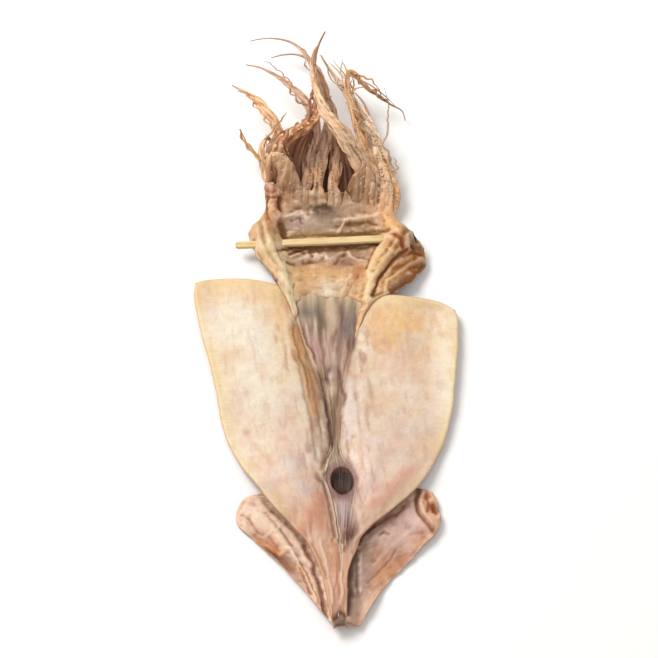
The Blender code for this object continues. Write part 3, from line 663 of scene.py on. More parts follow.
# The funnel of torn skin in the hole, ring by ring; it narrows the opening, and its dark tints are painted
# shade deep in the hole:
# (share of the hole's width, of its length, shift to the tail, share of the rim's height, painted-shade
# tint)
FUNNEL = (
    (0.95, 0.95, 0.0, 0.84, (96, 66, 60)), (0.90, 0.84, 1.2, 0.66, (54, 32, 28)),
    (0.78, 0.66, 2.6, 0.48, (50, 30, 26)), (0.62, 0.42, 4.7, 0.34, (72, 48, 44)),
    (0.36, 0.07, 8.5, 0.26, (92, 64, 60)), (0.32, 0.06, 8.6, 0.14, (44, 26, 22)),
    (0.76, 0.50, 4.6, 0.04, (60, 38, 32)), (0.90, 0.86, 1.0, 0.16, (90, 60, 50)),
)
around = np.arctan2(y.ravel()[rim_loop] - HOLE_AT[1], x.ravel()[rim_loop] - HOLE_AT[0])
ragged = 1 + 0.03 * grain(np.cos(around) * 6, np.sin(around) * 6, 4, 41, 2)
top_height = upper.reshape(-1, 3)[rim_loop, 2]
rings, ring_tints = [], []
for wide, long, shift, high, colour in FUNNEL:
    ring_x = HOLE_AT[0] + HOLE_HALF[0] * np.cos(around) * wide * ragged
    ring_y = HOLE_AT[1] - shift + HOLE_HALF[1] * np.sin(around) * long * ragged
    rings.append(np.stack([ring_x, ring_y, top_height * high], -1))
    ring_tints.append(even(colour, rim_loop))
loop = np.arange(len(rim_loop))
ladder = [rim_loop, *(2 * count + k * len(loop) + loop for k in range(len(FUNNEL))), rim_loop + count]
walls = [
    np.stack([a, b, np.roll(b, -1), np.roll(a, -1)], -1)[:, ::-1]
    for a, b in zip(ladder[:-1], ladder[1:])
]
kept = quads[~inside]
lie = np.stack([x, y, 0 * x], -1).reshape(-1, 3)
ring_points = np.concatenate(rings)
mantle_flesh = flesh("mantle_flesh", mottle=0.32, fibre=0.2, specks=0.04, rough=0.5, rich=1.14)
piece(
    "mantle",
    np.concatenate([upper.reshape(-1, 3), lower.reshape(-1, 3), ring_points]),
    [kept, kept[:, ::-1] + count, rim_faces(rows, columns), *walls],
    np.concatenate([tints.reshape(-1, 3), skin.reshape(-1, 3), *ring_tints]),
    np.concatenate([lie, lie + (0, 0, 9), ring_points]),
    mantle_flesh,
)

# ---- Fins ----
# Two soft swimming fins grow from the tail's back edge. Drying shrank them into thin, wrinkled
# sheets with a rolled margin; the right one is folded over at its front corner.
FIN_THICK = 1.5
FIN_ROWS = 110
FIN_COLUMNS = 76
FIN_LEFT = (
    (0, -6, 3), (0.16, -20, 22), (0.34, -33, 38), (0.55, -51, 56), (0.7, -62, 70), (0.8, -57, 84),
    (0.91, -30, 88), (1, -8, 80),
)
FIN_RIGHT = (
    (0, 10, 2), (0.16, 25, 27), (0.34, 39, 42), (0.5, 50, 54), (0.64, 60, 68), (0.76, 57, 90),
    (0.88, 33, 93), (1, 8, 80),
)
FIN_ROOT = ((0, 3), (1, 78))
# Stains: (middle, size, lean, colour, strength, rise); folds: (route, width, rise, colour, strength). Pale
# raised folds are partly painted highlight and dark sunken creases partly painted shade.
FIN_LEFT_MARKS = (
    ((-50, 70), (7, 8), 35, (246, 222, 198), 0.85, 0.2),
    ((-42, 60), (8, 5), -50, (234, 200, 174), 0.6, 0.3),
    # painted shadow under the curled margin, in this mark and the next
    ((-40, 47), (12, 4.4), -38, (96, 38, 16), 0.98, -0.3),
    ((-31, 38), (8, 3.0), -45, (122, 62, 36), 0.85, -0.3),
    ((-36, 54), (4, 3), 0, (240, 196, 150), 0.7, 0.5), ((-26, 50), (4, 3), 10, (204, 158, 146), 0.7, 0.2),
    ((-30, 57), (5, 3), -40, (214, 168, 146), 0.6, 0.0), ((-13, 8), (4, 6), 40, (236, 202, 168), 0.7, 0.3),
    ((-22, 30), (4, 14), 30, (238, 200, 172), 0.6, 0.0),
    ((-36, 66), (5, 14), 40, (250, 228, 206), 0.6, 0.2),
)
FIN_LEFT_LINES = (
    (((-52, 57), (-42, 51), (-36, 47), (-31, 50)), 1.4, 0.7, (226, 160, 112), 0.8),
    (((-30, 50), (-26, 42), (-22, 34), (-17, 22), (-12, 8)), 1.5, 1.1, (248, 218, 184), 0.9),
    # a crease darkened with painted shadow from the mantle's raised left edge
    (((-21, 52), (-17, 42), (-13.5, 30), (-11, 18), (-9.5, 6)), 1.4, -1.2, (126, 80, 60), 0.9),
    (((-27, 47), (-22, 37), (-17, 25), (-14, 15)), 0.9, -0.4, (176, 128, 106), 0.6),
    (((-19, 36), (-15, 24), (-12, 12)), 1.2, 0.8, (238, 202, 174), 0.8),
    (((-56, 78), (-44, 66), (-34, 55), (-26, 44)), 2.0, 0.5, (252, 232, 212), 0.75),
    (((-50, 82), (-40, 70), (-30, 60), (-23, 50), (-18, 40)), 1.8, 0.4, (246, 216, 194), 0.7),
    (((-58, 72), (-48, 61), (-38, 52)), 1.1, -0.5, (196, 140, 118), 0.7),
    (((-46, 74), (-36, 62), (-28, 52)), 0.8, -0.4, (200, 146, 124), 0.65),
    (((-25, 38), (-22, 30), (-19, 22)), 0.9, -0.6, (166, 112, 84), 0.7),
    (((-48, 84), (-40, 74), (-32, 66), (-26, 59), (-20, 51)), 1.3, -0.3, (156, 106, 82), 0.7),
    (((-45, 58), (-38, 62), (-34, 68)), 1.0, 0.5, (246, 214, 186), 0.6),
    # the lower edge of the painted shadow under the curled margin
    (((-50, 45), (-42, 38), (-33, 32), (-25, 25)), 1.2, 0.6, (112, 58, 34), 0.6),
    (((-56, 64), (-58, 74), (-52, 84)), 1.4, 0.5, (240, 200, 174), 0.7),
)
FIN_RIGHT_MARKS = (
    ((6.5, 26), (3.2, 18), -6, (146, 124, 114), 0.9, -0.6),
    ((17, 47), (6, 9), 0, (170, 148, 130), 0.75, -0.2), ((44, 68), (11, 7), 45, (234, 206, 200), 0.75, 0.2),
    ((33, 62), (7, 5), 45, (226, 196, 186), 0.6, 0.1), ((26, 48), (4, 4), 0, (192, 124, 92), 0.7, -0.3),
    ((36, 44), (5, 4), 40, (198, 132, 102), 0.7, -0.2), ((24, 35), (8, 5), 40, (222, 168, 124), 0.7, 0.1),
    ((30, 56), (6, 6), 40, (206, 176, 160), 0.6, 0.1), ((15, 15), (4, 8), -35, (240, 210, 192), 0.8, 0.3),
    ((15, 33), (3, 6), -10, (184, 160, 158), 0.6, -0.2), ((22, 63), (5, 3), 40, (190, 164, 150), 0.6, -0.2),
    ((47, 56), (6, 3), 45, (226, 170, 138), 0.6, 0.2), ((8, 1), (3, 4), 0, (226, 190, 160), 0.7, 0.0),
)
FIN_RIGHT_LINES = (
    # painted shade in the gap between the mantle's right edge and the fin
    (((9.5, 49), (7, 42), (5.4, 34), (4.6, 26), (4.2, 16), (3.4, 7)), 1.8, -1.6, (44, 20, 14), 0.98),
    (((11.4, 48), (11.8, 40), (12, 32), (11, 24)), 1.3, 0.6, (222, 198, 186), 0.75),
    (((9.4, 44), (9.4, 34), (9, 22)), 0.8, -0.5, (124, 98, 90), 0.7),
    (((16, 10), (21, 18), (28, 26), (36, 35), (46, 46), (56, 58)), 1.8, 0.8, (246, 204, 168), 0.85),
    (((11, 54), (14, 60), (20, 66)), 1.2, -0.8, (126, 84, 70), 0.85),
    (((20, 66), (30, 72), (40, 80)), 1.2, -0.5, (170, 118, 92), 0.7),
    (((20, 40), (28, 50), (40, 60), (50, 72)), 1.2, 0.3, (236, 206, 190), 0.45),
    (((16, 30), (26, 40), (34, 50)), 0.8, -0.5, (170, 122, 98), 0.6),
    (((24, 60), (27, 63), (30, 61)), 0.8, -0.5, (140, 104, 96), 0.7),
    (((50, 95), (47.5, 86), (48.5, 77), (52, 69), (57, 63)), 1.1, -1.5, (112, 56, 36), 0.95),
    (((56, 92), (57, 80), (58, 68)), 5.0, 1.8, (226, 158, 118), 0.9),
    # the pale ridges of the folded corner, here and on the next line, are partly painted highlight
    (((51, 92), (50.5, 82), (53, 73), (57, 66)), 1.0, 1.2, (244, 196, 158), 0.85),
    (((55, 93), (56.5, 88), (59.5, 84), (62, 78), (60.5, 71)), 1.1, 1.2, (240, 188, 150), 0.8),
    (((53.5, 88), (55, 82), (54.5, 76)), 1.1, -0.9, (168, 98, 70), 0.8),
    # painted shade in a hollow of the folded corner
    (((57.5, 80), (59, 76)), 2.0, -2.2, (128, 66, 50), 0.95),
    (((53, 85), (58, 86)), 0.8, -0.6, (178, 112, 82), 0.7),
)


def sheet(name, upper, lower, tints, skin, lie, apart, finish):
    """A closed piece from a sheet's two sides; apart keeps the lower side's fibres unlike the upper's."""
    rows, columns = upper.shape[:2]
    quads, count = grid_faces(rows, columns), rows * columns
    faces = [quads, quads[:, ::-1] + count, rim_faces(rows, columns)]
    points = np.concatenate([upper.reshape(-1, 3), lower.reshape(-1, 3)])
    shown = np.concatenate([tints.reshape(-1, 3), skin.reshape(-1, 3)])
    lie = np.stack(np.broadcast_arrays(*lie), -1).reshape(-1, 3)
    return piece(name, points, faces, shown, np.concatenate([lie, lie + (0, 0, apart)]), finish)


fin_flesh = flesh("fin_flesh", mottle=0.65, fibre=0.45, specks=0.15, rough=0.52)


def fin(name, margin, base, marks, lines, seed, bright=1.0):
    """A wrinkled fin from its root under the mantle's midline out to a rolled margin near the table."""
    share = np.linspace(0, 1, FIN_ROWS + 1)[:, None]
    out = np.linspace(0, 1, FIN_COLUMNS + 1)[None, :]
    places, edge_x, edge_y = zip(*margin)
    side = math.copysign(1, edge_x[0])
    ragged = 1 + 0.012 * grain(share * 40, 0.0, 2.2, seed)
    root_x, root_y = 2.2 * side, smooth(FIN_ROOT, share)
    x = root_x + (smooth(list(zip(places, edge_x)), share) * ragged - root_x) * out
    y = root_y + (smooth(list(zip(places, edge_y)), share) - root_y) * out
    root_z = mantle_middle(np.full_like(root_y, root_x), root_y)
    drop = ramp(np.abs(x - root_x), 0, 11)
    margin_wave = 1.1 * ramp(out, 0.6, 1.0) * (1 + np.sin(0.095 * y + 0.04 * x))
    z = root_z * (1 - drop) + (1.1 + margin_wave) * drop
    bent = grain(x, y, 12, seed + 7)
    wrinkle = folds(share * 50 + 2.6 * bent, out * 9, 7.0, seed + 1)
    crumple, speckle = grain(x, y, 10, seed + 2, 3), grain(x, y, 3.0, seed + 8, 2)
    streaks = grain(share * 60 + 1.5 * bent, out * 8, 2.2, seed + 9, 3)
    relief = drop * (0.16 * wrinkle + 0.60 * crumple + 0.10 * speckle + 0.12 * streaks)
    tints = coats(
        even(base, x),
        (0.5 * ramp(crumple, 0.0, 0.9), (246, 216, 198)),
        (0.36 * ramp(-crumple, 0.0, 0.9), (202, 150, 124)),
        (0.4 * ramp(bent, 0.1, 1.0), (208, 178, 172)),
        (0.60 * ramp(-speckle, 0.1, 1.0), (166, 128, 112)),
        (0.50 * ramp(speckle, 0.2, 1.0), (250, 226, 212)),
        (0.35 * ramp(-streaks, 0.2, 1.0), (170, 118, 94)),
    )
    warp_x = x + 0.9 * grain(x, y, 7, seed + 3)
    warp_y = y - 1.0 + 0.9 * grain(x, y, 7, seed + 4)
    tints, relief = stained(tints, relief, warp_x, warp_y, marks)
    tints, relief = creased(tints, relief, warp_x, warp_y, lines)
    hem = np.exp(-(((1 - out) / 0.03) ** 2))
    tints = wash(tints, 0.5 * hem, (236, 190, 152))
    relief = relief + 0.25 * hem
    # Painted shade in the hollows of the relief and painted highlight on its rises
    tints = bright * paint_shade_and_highlight(tints, relief, 0.5, (146, 92, 66), (252, 226, 206), 0.6)
    thick = FIN_THICK * (0.35 + 0.65 * np.sqrt(1 - out**12))
    if side < 0:  # the other way round, so that the upper side still faces up
        x, y, z, out, thick = x[:, ::-1], y[:, ::-1], z[:, ::-1], out[:, ::-1], thick[:, ::-1]
        relief, wrinkle, tints = relief[:, ::-1], wrinkle[:, ::-1], tints[:, ::-1]
    upper, lower = two_sides(np.stack([x, y, z], -1), thick, relief, 0.2 * wrinkle)
    blotches = 0.7 * ramp(grain(x, y, 9, seed + 6), -0.2, 0.8)
    skin = wash(even((188, 136, 112), x), blotches, (146, 92, 78))
    return sheet(name, upper, lower, tints, skin, (out * 60, share * 90, 0.0), 9, fin_flesh)


fin("fin_left", FIN_LEFT, (255, 228, 206), FIN_LEFT_MARKS, FIN_LEFT_LINES, 50, 1.14)
fin("fin_right", FIN_RIGHT, (222, 184, 164), FIN_RIGHT_MARKS, FIN_RIGHT_LINES, 60)

# ---- Arms ----
# Eight arms and two tentacles of solid muscle, shrunk and stiff. Each is flat above between two
# skin flanges, where the suckers sit, and keeled below; they sweep forward, curl and cross.
ARM_SIDES = 28
ARM_STEP = 1.2
ARM_RADIUS = 4.4
ARM_FLATNESS = 0.78
ARM_ROOT_BACK = 15.0
ARM_ROOT_HEIGHT = 4.2
ARM_TAPER = (
    (0, 0.4), (0.06, 0.8), (0.12, 1.0), (0.35, 0.86), (0.6, 0.58), (0.8, 0.32), (0.92, 0.18), (1, 0.11),
)
ARM_GOLD = np.array([1.20, 1.13, 1.04])  # the warm light that comes through thin arms
ARM_WARMTH = ARM_GOLD / 1.2  # its hue alone, for the fringes and strands
# (thickness beside the others, colour, twist in turns, route from the web's margin to the tip)
ARMS = {
    "hooked": (0.80, (248, 216, 184), 0.2, (
        (-38, 308, 7), (-43, 318, 10), (-46, 326, 15), (-47, 333, 20), (-43, 339, 22), (-40, 336, 19),
        (-39, 332, 15), (-41, 326, 9))),
    "left_sweep": (0.95, (250, 214, 180), 0.1, (
        (-32, 309, 7), (-34, 319, 12), (-36, 328, 18), (-37, 339, 24), (-40, 350, 27), (-46, 359, 27),
        (-54, 372, 23), (-62, 383, 16), (-67, 391, 10))),
    "bent": (1.15, (180, 137, 116), 0.3, (
        (-28, 308, 7), (-32, 315, 15), (-36, 322, 26), (-35, 326, 33), (-27, 332, 37), (-16, 340, 38),
        (-11, 352, 37), (-11, 369, 35), (-13, 388, 31), (-11, 407, 26), (-6, 425, 22), (-3, 433, 20))),
    "centre_left": (0.74, (222, 194, 178), 0.1, (
        (-18, 305, 7), (-16, 316, 12), (-15, 328, 17), (-12, 339, 22), (-12, 352, 26), (-18, 365, 28),
        (-26, 376, 27), (-37, 389, 24), (-48, 399, 20), (-58, 406, 14))),
    "centre": (0.76, (228, 200, 182), -0.1, (
        (-10, 303, 7), (-9.5, 315, 12), (-8, 327, 17), (-4, 340, 22), (-3, 355, 25), (-8, 374, 24),
        (-11, 393, 22), (-17, 410, 21), (-27, 424, 18), (-39, 430, 14), (-48, 433, 9), (-55, 434, 5))),
    "centre_right": (0.74, (222, 192, 174), 0.0, (
        (0.5, 305, 7), (1.5, 317, 11), (2.5, 330, 15), (2.5, 344, 18), (1, 360, 19), (-3, 377, 18),
        (-6, 395, 16), (-13, 411, 14), (-22, 418, 12), (-31, 420, 9), (-40, 420, 5))),
    "crossing": (1.0, (255, 228, 204), 0.3, (
        (22, 308, 8), (20, 315, 16), (14, 323, 26), (6, 331, 36), (-2, 339, 42), (-9, 351, 44),
        (-13, 367, 44), (-15, 384, 42), (-13, 400, 38), (-8, 412, 33))),
    "right_hook": (0.78, (244, 208, 176), -0.2, (
        (30, 306, 8), (28, 317, 14), (23, 329, 19), (18, 343, 23), (14, 357, 26), (11, 371, 28),
        (10, 386, 28), (12, 393, 27), (17, 392, 25), (22, 386, 22), (27, 384, 18), (33, 383, 15),
        (41, 379, 11), (50, 376, 7), (52, 370, 4))),
    "right": (1.0, (255, 238, 220), 0.1, (
        (36, 304, 8), (35, 316, 12), (32, 329, 16), (28, 342, 19), (23, 354, 21), (16, 369, 21),
        (9, 383, 20), (2, 397, 18), (-3, 409, 15), (-6, 419, 12))),
    "outer_right": (0.85, (250, 220, 194), -0.15, (
        (41, 300, 8), (40, 311, 10), (38, 324, 12), (34, 337, 13), (30, 349, 14), (26, 357, 14),
        (25, 369, 13), (23, 378, 12), (17, 389, 10))),
}


def arm_knots(route):
    """An arm's own places with its root in the head, and their distances along it."""
    root = (0.85 * route[0][0], route[0][1] - ARM_ROOT_BACK, ARM_ROOT_HEIGHT)
    points = np.array([root, *route], float)
    return points, np.concatenate([[0], np.cumsum(np.linalg.norm(np.diff(points, axis=0), axis=1))])


def along_arm(route, at):
    """The places on an arm's smooth centre line at these distances from its root."""
    points, run = arm_knots(route)
    return np.stack([smooth(np.stack([run, points[:, k]], -1), at) for k in range(3)], -1)


def arm_frame(size, twist, route, at):
    """Centre line, ahead, sideways and upward directions, and radius of an arm at these distances."""
    line, length = along_arm(route, at), arm_knots(route)[1][-1]
    line[:, 2] -= 2.6 * (1 - ramp(at, 0, ARM_ROOT_BACK + 2))
    ahead = along_arm(route, at + 0.5) - along_arm(route, at - 0.5)
    ahead /= np.maximum(np.linalg.norm(ahead, axis=1, keepdims=True), 1e-9)
    sideways = np.cross(ahead, (0, 0, 1))
    sideways /= np.linalg.norm(sideways, axis=1, keepdims=True)
    upward = np.cross(sideways, ahead)
    turn = 2 * math.pi * twist * ramp(at / length, 0.15, 1.0)[:, None]
    tilted = sideways * np.cos(turn) + upward * np.sin(turn)
    return line, ahead, tilted, np.cross(tilted, ahead), ARM_RADIUS * size * smooth(ARM_TAPER, at / length)


def arm_section(angle):
    """The arm's outline: a groove above between two flanges, and a keel below."""
    flange = np.exp(-(((angle - 0.42) / 0.26) ** 2)) + np.exp(-(((angle - math.pi + 0.42) / 0.26) ** 2))
    groove = np.exp(-(((angle - math.pi / 2) / 0.42) ** 2))
    keel = np.exp(-(((angle - 1.5 * math.pi) / 0.35) ** 2))
    return 0.97 + 0.16 * flange - 0.14 * groove + 0.10 * keel


def tube_faces(rings, sides, start=0):
    """The faces of a closed tube whose two end points follow its rings of points."""
    tip, k = start + rings * sides, np.arange(sides)
    after, last = (k + 1) % sides, tip - sides
    first_cap = np.stack([start + after, start + k, 0 * k + tip], -1)
    last_cap = np.stack([last + k, last + after, 0 * k + tip + 1], -1)
    return [grid_faces(rings, sides, start, closed=True), first_cap, last_cap]


def with_ends(rows, first, last):
    """Rows of points or tints of a tube, followed by those of its two end points."""
    return np.concatenate([rows.reshape(-1, 3), [first], [last]])


arm_flesh = flesh("arm_flesh", mottle=0.35, fibre=0.4, specks=0.08, rough=0.45, gloss=0.4, rich=1.2)
for number, (name, (size, colour, twist, route)) in enumerate(ARMS.items()):
    length = arm_knots(route)[1][-1]
    at = np.linspace(0.5, length - 0.5, round(length / ARM_STEP))
    line, ahead, sideways, upward, radius = arm_frame(size, twist, route, at)
    angle = np.linspace(0, 2 * math.pi, ARM_SIDES, endpoint=False)[None, :]
    along = at[:, None]
    round_x, round_y = 5 * np.cos(angle), 5 * np.sin(angle)
    drift = 0.10 * along
    threads = folds(round_x + drift, round_y - drift, 2.6, 80 + number)
    dents = grain(along + round_x, round_y, 7, 95 + number, 3)
    relief = 0.10 * threads + 0.13 * dents
    wide = radius[:, None] * arm_section(angle) * (1 + relief)
    ring = (
        line[:, None, :] + sideways[:, None, :] * (wide * np.cos(angle))[..., None]
        + upward[:, None, :] * (ARM_FLATNESS * wide * np.sin(angle))[..., None]
    )
    share = along / length
    patches = grain(along, round_x + 9, 11, 180 + number)
    tints = coats(
        even(colour, patches),
        (0.65 * (1 - ramp(share, 0.10, 0.30)), (216, 182, 158)),
        (0.6 * ramp(patches, 0.0, 0.9), np.multiply(colour, (0.94, 0.81, 0.68))),
        (0.4 * ramp(-patches, 0.1, 0.9), np.multiply(colour, (0.86, 0.84, 0.90))),
        (0.25 * np.exp(-(((angle - math.pi / 2) / 0.4) ** 2)), (180, 132, 104)),
        (0.40 * ramp(-np.sin(angle), 0.2, 1.0), (166, 114, 86)),
    )
    tints, relief = np.tile(tints, (1, 3, 1)), np.tile(relief, (1, 3))  # so that its seam gets the painted shade and highlight too
    # Painted shade in the hollows of the relief and painted highlight on its rises
    tints = paint_shade_and_highlight(tints, relief, 0.11, (112, 66, 42), (255, 236, 206), 0.8)[:, ARM_SIDES:-ARM_SIDES]
    tints = ARM_GOLD * wash(tints, 0.65 * ramp(share, 0.76, 1.0), (136, 106, 82))
    lie = np.stack(np.broadcast_arrays(angle * 3.2, along, 20 * number), -1)
    points = with_ends(ring, line[0] - 0.3 * radius[0] * ahead[0], line[-1] + 0.9 * radius[-1] * ahead[-1])
    shown, lies = with_ends(tints, tints[0, 0], tints[-1, 0]), with_ends(lie, lie[0, 0], lie[-1, -1])
    piece(f"arm_{name}", points, tube_faces(len(at), ARM_SIDES), shown, lies, arm_flesh)

# ---- Arm fringes ----
# Each arm's two edges carry a thin skin fringe. It dried into a frilled, see-sawing ribbon, now
# wide and now narrow, that makes the arm look flat and ragged.
FRINGE_THICK = 0.36
FRINGE_STEPS = 4
FRINGE_LEAST_HEIGHT = 0.3
FRINGE_ANGLES = {"a": 0.30, "b": math.pi - 0.30}
FRINGE_START = 0.14  # share of the arm's length
FRINGE_END = 0.86
HOOK_FRINGE_END = 0.62  # the hooked arm on the right is bare where it turns back
FRINGE_SPACING = 0.9
fringe_flesh = flesh("fringe_flesh", mottle=0.3, fibre=0.5, specks=0.08, rough=0.42, gloss=0.4, rich=1.16)
for number, (name, (size, colour, twist, route)) in enumerate(ARMS.items()):
    length = arm_knots(route)[1][-1]
    begin, stop = FRINGE_START, HOOK_FRINGE_END if name == "right_hook" else FRINGE_END
    at = np.linspace(begin * length, stop * length, round((stop - begin) * length / FRINGE_SPACING))
    line, ahead, sideways, upward, radius = arm_frame(size, twist, route, at)
    for hand, angle in FRINGE_ANGLES.items():
        seed = 400 + 2 * number + (hand == "b")
        foot = 0.9 * radius[:, None] * float(arm_section(np.array(angle)))
        start = line + sideways * foot * math.cos(angle) + upward * ARM_FLATNESS * foot * math.sin(angle)
        ends = within(at, at[0], at[0] + 12, at[-1] - 20, at[-1])
        wide = (radius * (0.34 + 0.30 * grain(at, 0.0, 9, seed, 3)) * ends + 0.12)[:, None]
        frill = (radius * 0.55 * grain(at, 50.0, 3.4, seed, 2) * ends)[:, None]
        out = np.linspace(0, 1, FRINGE_STEPS + 1)[None, :]
        if hand == "a":
            out = out[:, ::-1]
        outward, lift = wide * out, frill * out**1.5 + 0.35 * wide * out
        away = math.copysign(1, math.cos(angle)) * sideways
        middle = start[:, None, :] + away[:, None, :] * outward[..., None]
        middle = middle + upward[:, None, :] * lift[..., None]
        middle[..., 2] = np.maximum(middle[..., 2], FRINGE_LEAST_HEIGHT)
        flutter = grain(at[:, None], out * 2, 2.2, seed + 40)
        tints = ARM_WARMTH * coats(
            even(colour, flutter),
            (0.6 * ramp(flutter, 0.0, 0.9), (255, 232, 206)),
            (0.5 * ramp(-flutter, 0.0, 0.9), (184, 130, 98)),
            (0.4 * ramp(out, 0.7, 1.0), (206, 150, 112)),
        )
        upper, lower = two_sides(middle, FRINGE_THICK * (1 - 0.55 * out), 0.05 * flutter, 0.0)
        lie = (at[:, None], out * 3, 3 * number)
        sheet(f"fringe_{name}_{hand}", upper, lower, tints, tints, lie, 2, fringe_flesh)

# ---- Peeled strands ----
# Strips of skin and muscle that split off the arms while they dried. Each starts and ends in an
# arm, or curls free, and is as thin as twine.
STRANDS = 72
STRAND_SIDES = 6
STRAND_STEPS = 30
STRAND_LEAST_HEIGHT = 0.9
pick = np.random.default_rng(77)
arm_names = list(ARMS)
strand_points, strand_tints, strand_faces = [], [], []
for number in range(STRANDS):
    first = ARMS[arm_names[pick.integers(len(arm_names))]]
    length = arm_knots(first[3])[1][-1]
    begin = pick.uniform(0.22, 0.74) * length
    line, ahead, sideways, upward, radius = arm_frame(first[0], first[2], first[3], np.array([begin]))
    start = line[0] + sideways[0] * radius[0] * pick.uniform(-0.6, 0.6) + upward[0] * radius[0] * 0.45
    reach_out = pick.uniform(14, 48)
    lean = sideways[0] * pick.uniform(-0.5, 0.5) + upward[0] * pick.uniform(0.05, 0.35)
    if pick.uniform() < 0.6:
        goal_at = np.array([min(begin + reach_out, 0.92 * length)])
        line, _, other_side, other_up, radius = arm_frame(first[0], first[2], first[3], goal_at)
        goal = line[0] + other_side[0] * radius[0] * pick.uniform(-0.6, 0.6) + other_up[0] * radius[0] * 0.4
    else:
        goal = start + ahead[0] * reach_out + sideways[0] * pick.uniform(-0.5, 0.5) * reach_out
        goal = goal + np.array([0, 0, pick.uniform(-0.25, 0.05) * reach_out])
    bow = (start + goal) / 2 + lean * reach_out * 0.45
    t = np.linspace(0, 1, STRAND_STEPS)[:, None]
    path = start * (1 - t) ** 2 + bow * 2 * t * (1 - t) + goal * t**2
    wriggle = grain(t * 30, number * 3.0, 7, 500 + number, 3) * np.sin(math.pi * t)
    path = path + sideways[0] * wriggle * 2.4
    path[:, 2] = np.maximum(path[:, 2], STRAND_LEAST_HEIGHT)
    way = np.gradient(path, axis=0)
    way /= np.linalg.norm(way, axis=1, keepdims=True)
    flat = np.cross(way, (0.1, 0.2, 1.0))
    flat /= np.linalg.norm(flat, axis=1, keepdims=True)
    high = np.cross(flat, way)
    wide = pick.uniform(0.35, 1.05) * (1 - 0.75 * t**3) * (1 + 0.25 * grain(t * 20, 0.0, 3, 540 + number))
    turn = np.linspace(0, 2 * math.pi, STRAND_SIDES, endpoint=False)[None, :, None]
    ring = path[:, None, :] + flat[:, None, :] * np.cos(turn) * wide[..., None] * 1.3
    ring = ring + high[:, None, :] * np.sin(turn) * wide[..., None] * 0.7
    start_index = sum(len(block) for block in strand_points)
    strand_points.append(with_ends(ring, path[0], path[-1]))
    browned = np.array(pick.uniform(0, 0.55))
    shade = coats(even(first[1], t[:, 0]), (browned, (150, 100, 72)), (0.7 * t[:, 0] ** 3, (122, 92, 72)))
    shade = ARM_WARMTH * shade
    strand_tints.append(with_ends(np.repeat(shade, STRAND_SIDES, axis=0), shade[0], shade[-1]))
    strand_faces += tube_faces(STRAND_STEPS, STRAND_SIDES, start_index)
points = np.concatenate(strand_points)
piece("strands", points, strand_faces, np.concatenate(strand_tints), points, arm_flesh)

# ---- Arm webs ----
# Thin skin that spans from arm to arm at their roots. It dried ribbed, with its free margin drawn
# back, and stands nearly upright where the bent arm lifts it.
# (arm, next arm, how far out, how far its margin is drawn back, how deep it sags and how much painted shade
# darkens it)
WEBS = (
    ("hooked", "left_sweep", 18, 0.4, 0.2), ("bent", "centre_left", 52, 0.06, 0.3),
    ("centre_left", "centre", 42, 0.2, 0.9), ("centre", "centre_right", 42, 0.2, 0.9),
    ("centre_right", "crossing", 42, 0.15, 0.8), ("crossing", "right_hook", 26, 0.35, 0.4),
    ("right_hook", "right", 30, 0.3, 0.3), ("right", "outer_right", 28, 0.4, 0.2),
)
WEB_THICK = 1.0
WEB_LEAST_HEIGHT = 0.8
WEB_STEPS = 34
web_flesh = flesh("web_flesh", mottle=0.8, fibre=0.9, specks=0.3, rough=0.5)
for number, (first, second, reach_out, hollow, sunk) in enumerate(WEBS):
    across = np.linspace(0, 1, WEB_STEPS + 1)
    share = across[:, None]
    drawn_back = 1 - hollow * 4 * across * (1 - across) + 0.05 * grain(across * 9, 0.0, 2, 120 + number)
    at = (ARM_ROOT_BACK * 0.5) * (1 - share) + (ARM_ROOT_BACK + reach_out * drawn_back) * share
    one, other = along_arm(ARMS[first][3], at), along_arm(ARMS[second][3], at)
    middle = one + (other - one) * across[None, :, None]
    sway = 0.8 * grain(across * 9, share * 3, 2, 150 + number)
    ribs = np.sin(across * math.pi * 2 * max(3, reach_out / 8) + sway)
    ribs = 0.7 * ribs + 0.7 * folds(across * 22, share * 3, 3, 130 + number)
    relief = 0.45 * ribs * np.sin(math.pi * across) + 0.25 * grain(across * 20, share * 20, 6, 140 + number)
    sag = (2.2 + 3.0 * sunk) * (reach_out > 20)  # a short web stays taut
    middle[..., 2] -= sag * np.sin(math.pi * across) * np.sin(math.pi * share)
    middle[..., 2] = np.maximum(middle[..., 2], WEB_LEAST_HEIGHT)
    tints = coats(
        even((176, 130, 104), relief),
        (0.7 * (1 - ramp(share, 0.10, 0.5)), (88, 50, 36)),
        (0.75 * ramp(-ribs, 0.0, 1.0), (100, 58, 42)),
        (0.8 * ramp(ribs, 0.0, 1.1), (222, 178, 150)),
        (0.5 * ramp(share, 0.9, 1.0), (214, 170, 132)),
        # painted shade in the web's deep sag
        (0.85 * sunk * (1 - ramp(share, 0.6, 1.0)), (80, 44, 30)),
    )
    thick = WEB_THICK * (0.35 + 0.65 * np.sqrt(1 - share**10))
    upper, lower = two_sides(middle, thick, relief, -relief)
    sheet(f"web_{first}", upper, lower, tints, tints, (share * 30, across * 24, 11 * number), 5, web_flesh)

# ---- Suckers ----
# Two rows of small cups along every arm's flat side, pale with a darker middle, the largest near
# the root. They dried into hard little rings, and some fell off.
SUCKER_SIDES = 10
SUCKER_SHARE = 0.22  # radius beside the arm's radius
# (distance from the middle, height, tint) from the foot over the rim into the cup
SUCKER_PROFILE = (
    (0.80, -0.5, (196, 146, 112)), (1.0, 0.20, (230, 186, 150)), (0.92, 0.55, (255, 226, 196)),
    (0.70, 0.62, (255, 236, 210)), (0.46, 0.36, (236, 196, 164)), (0.0, 0.26, (196, 146, 114)),
)
ring_angle = np.linspace(0, 2 * math.pi, SUCKER_SIDES, endpoint=False)


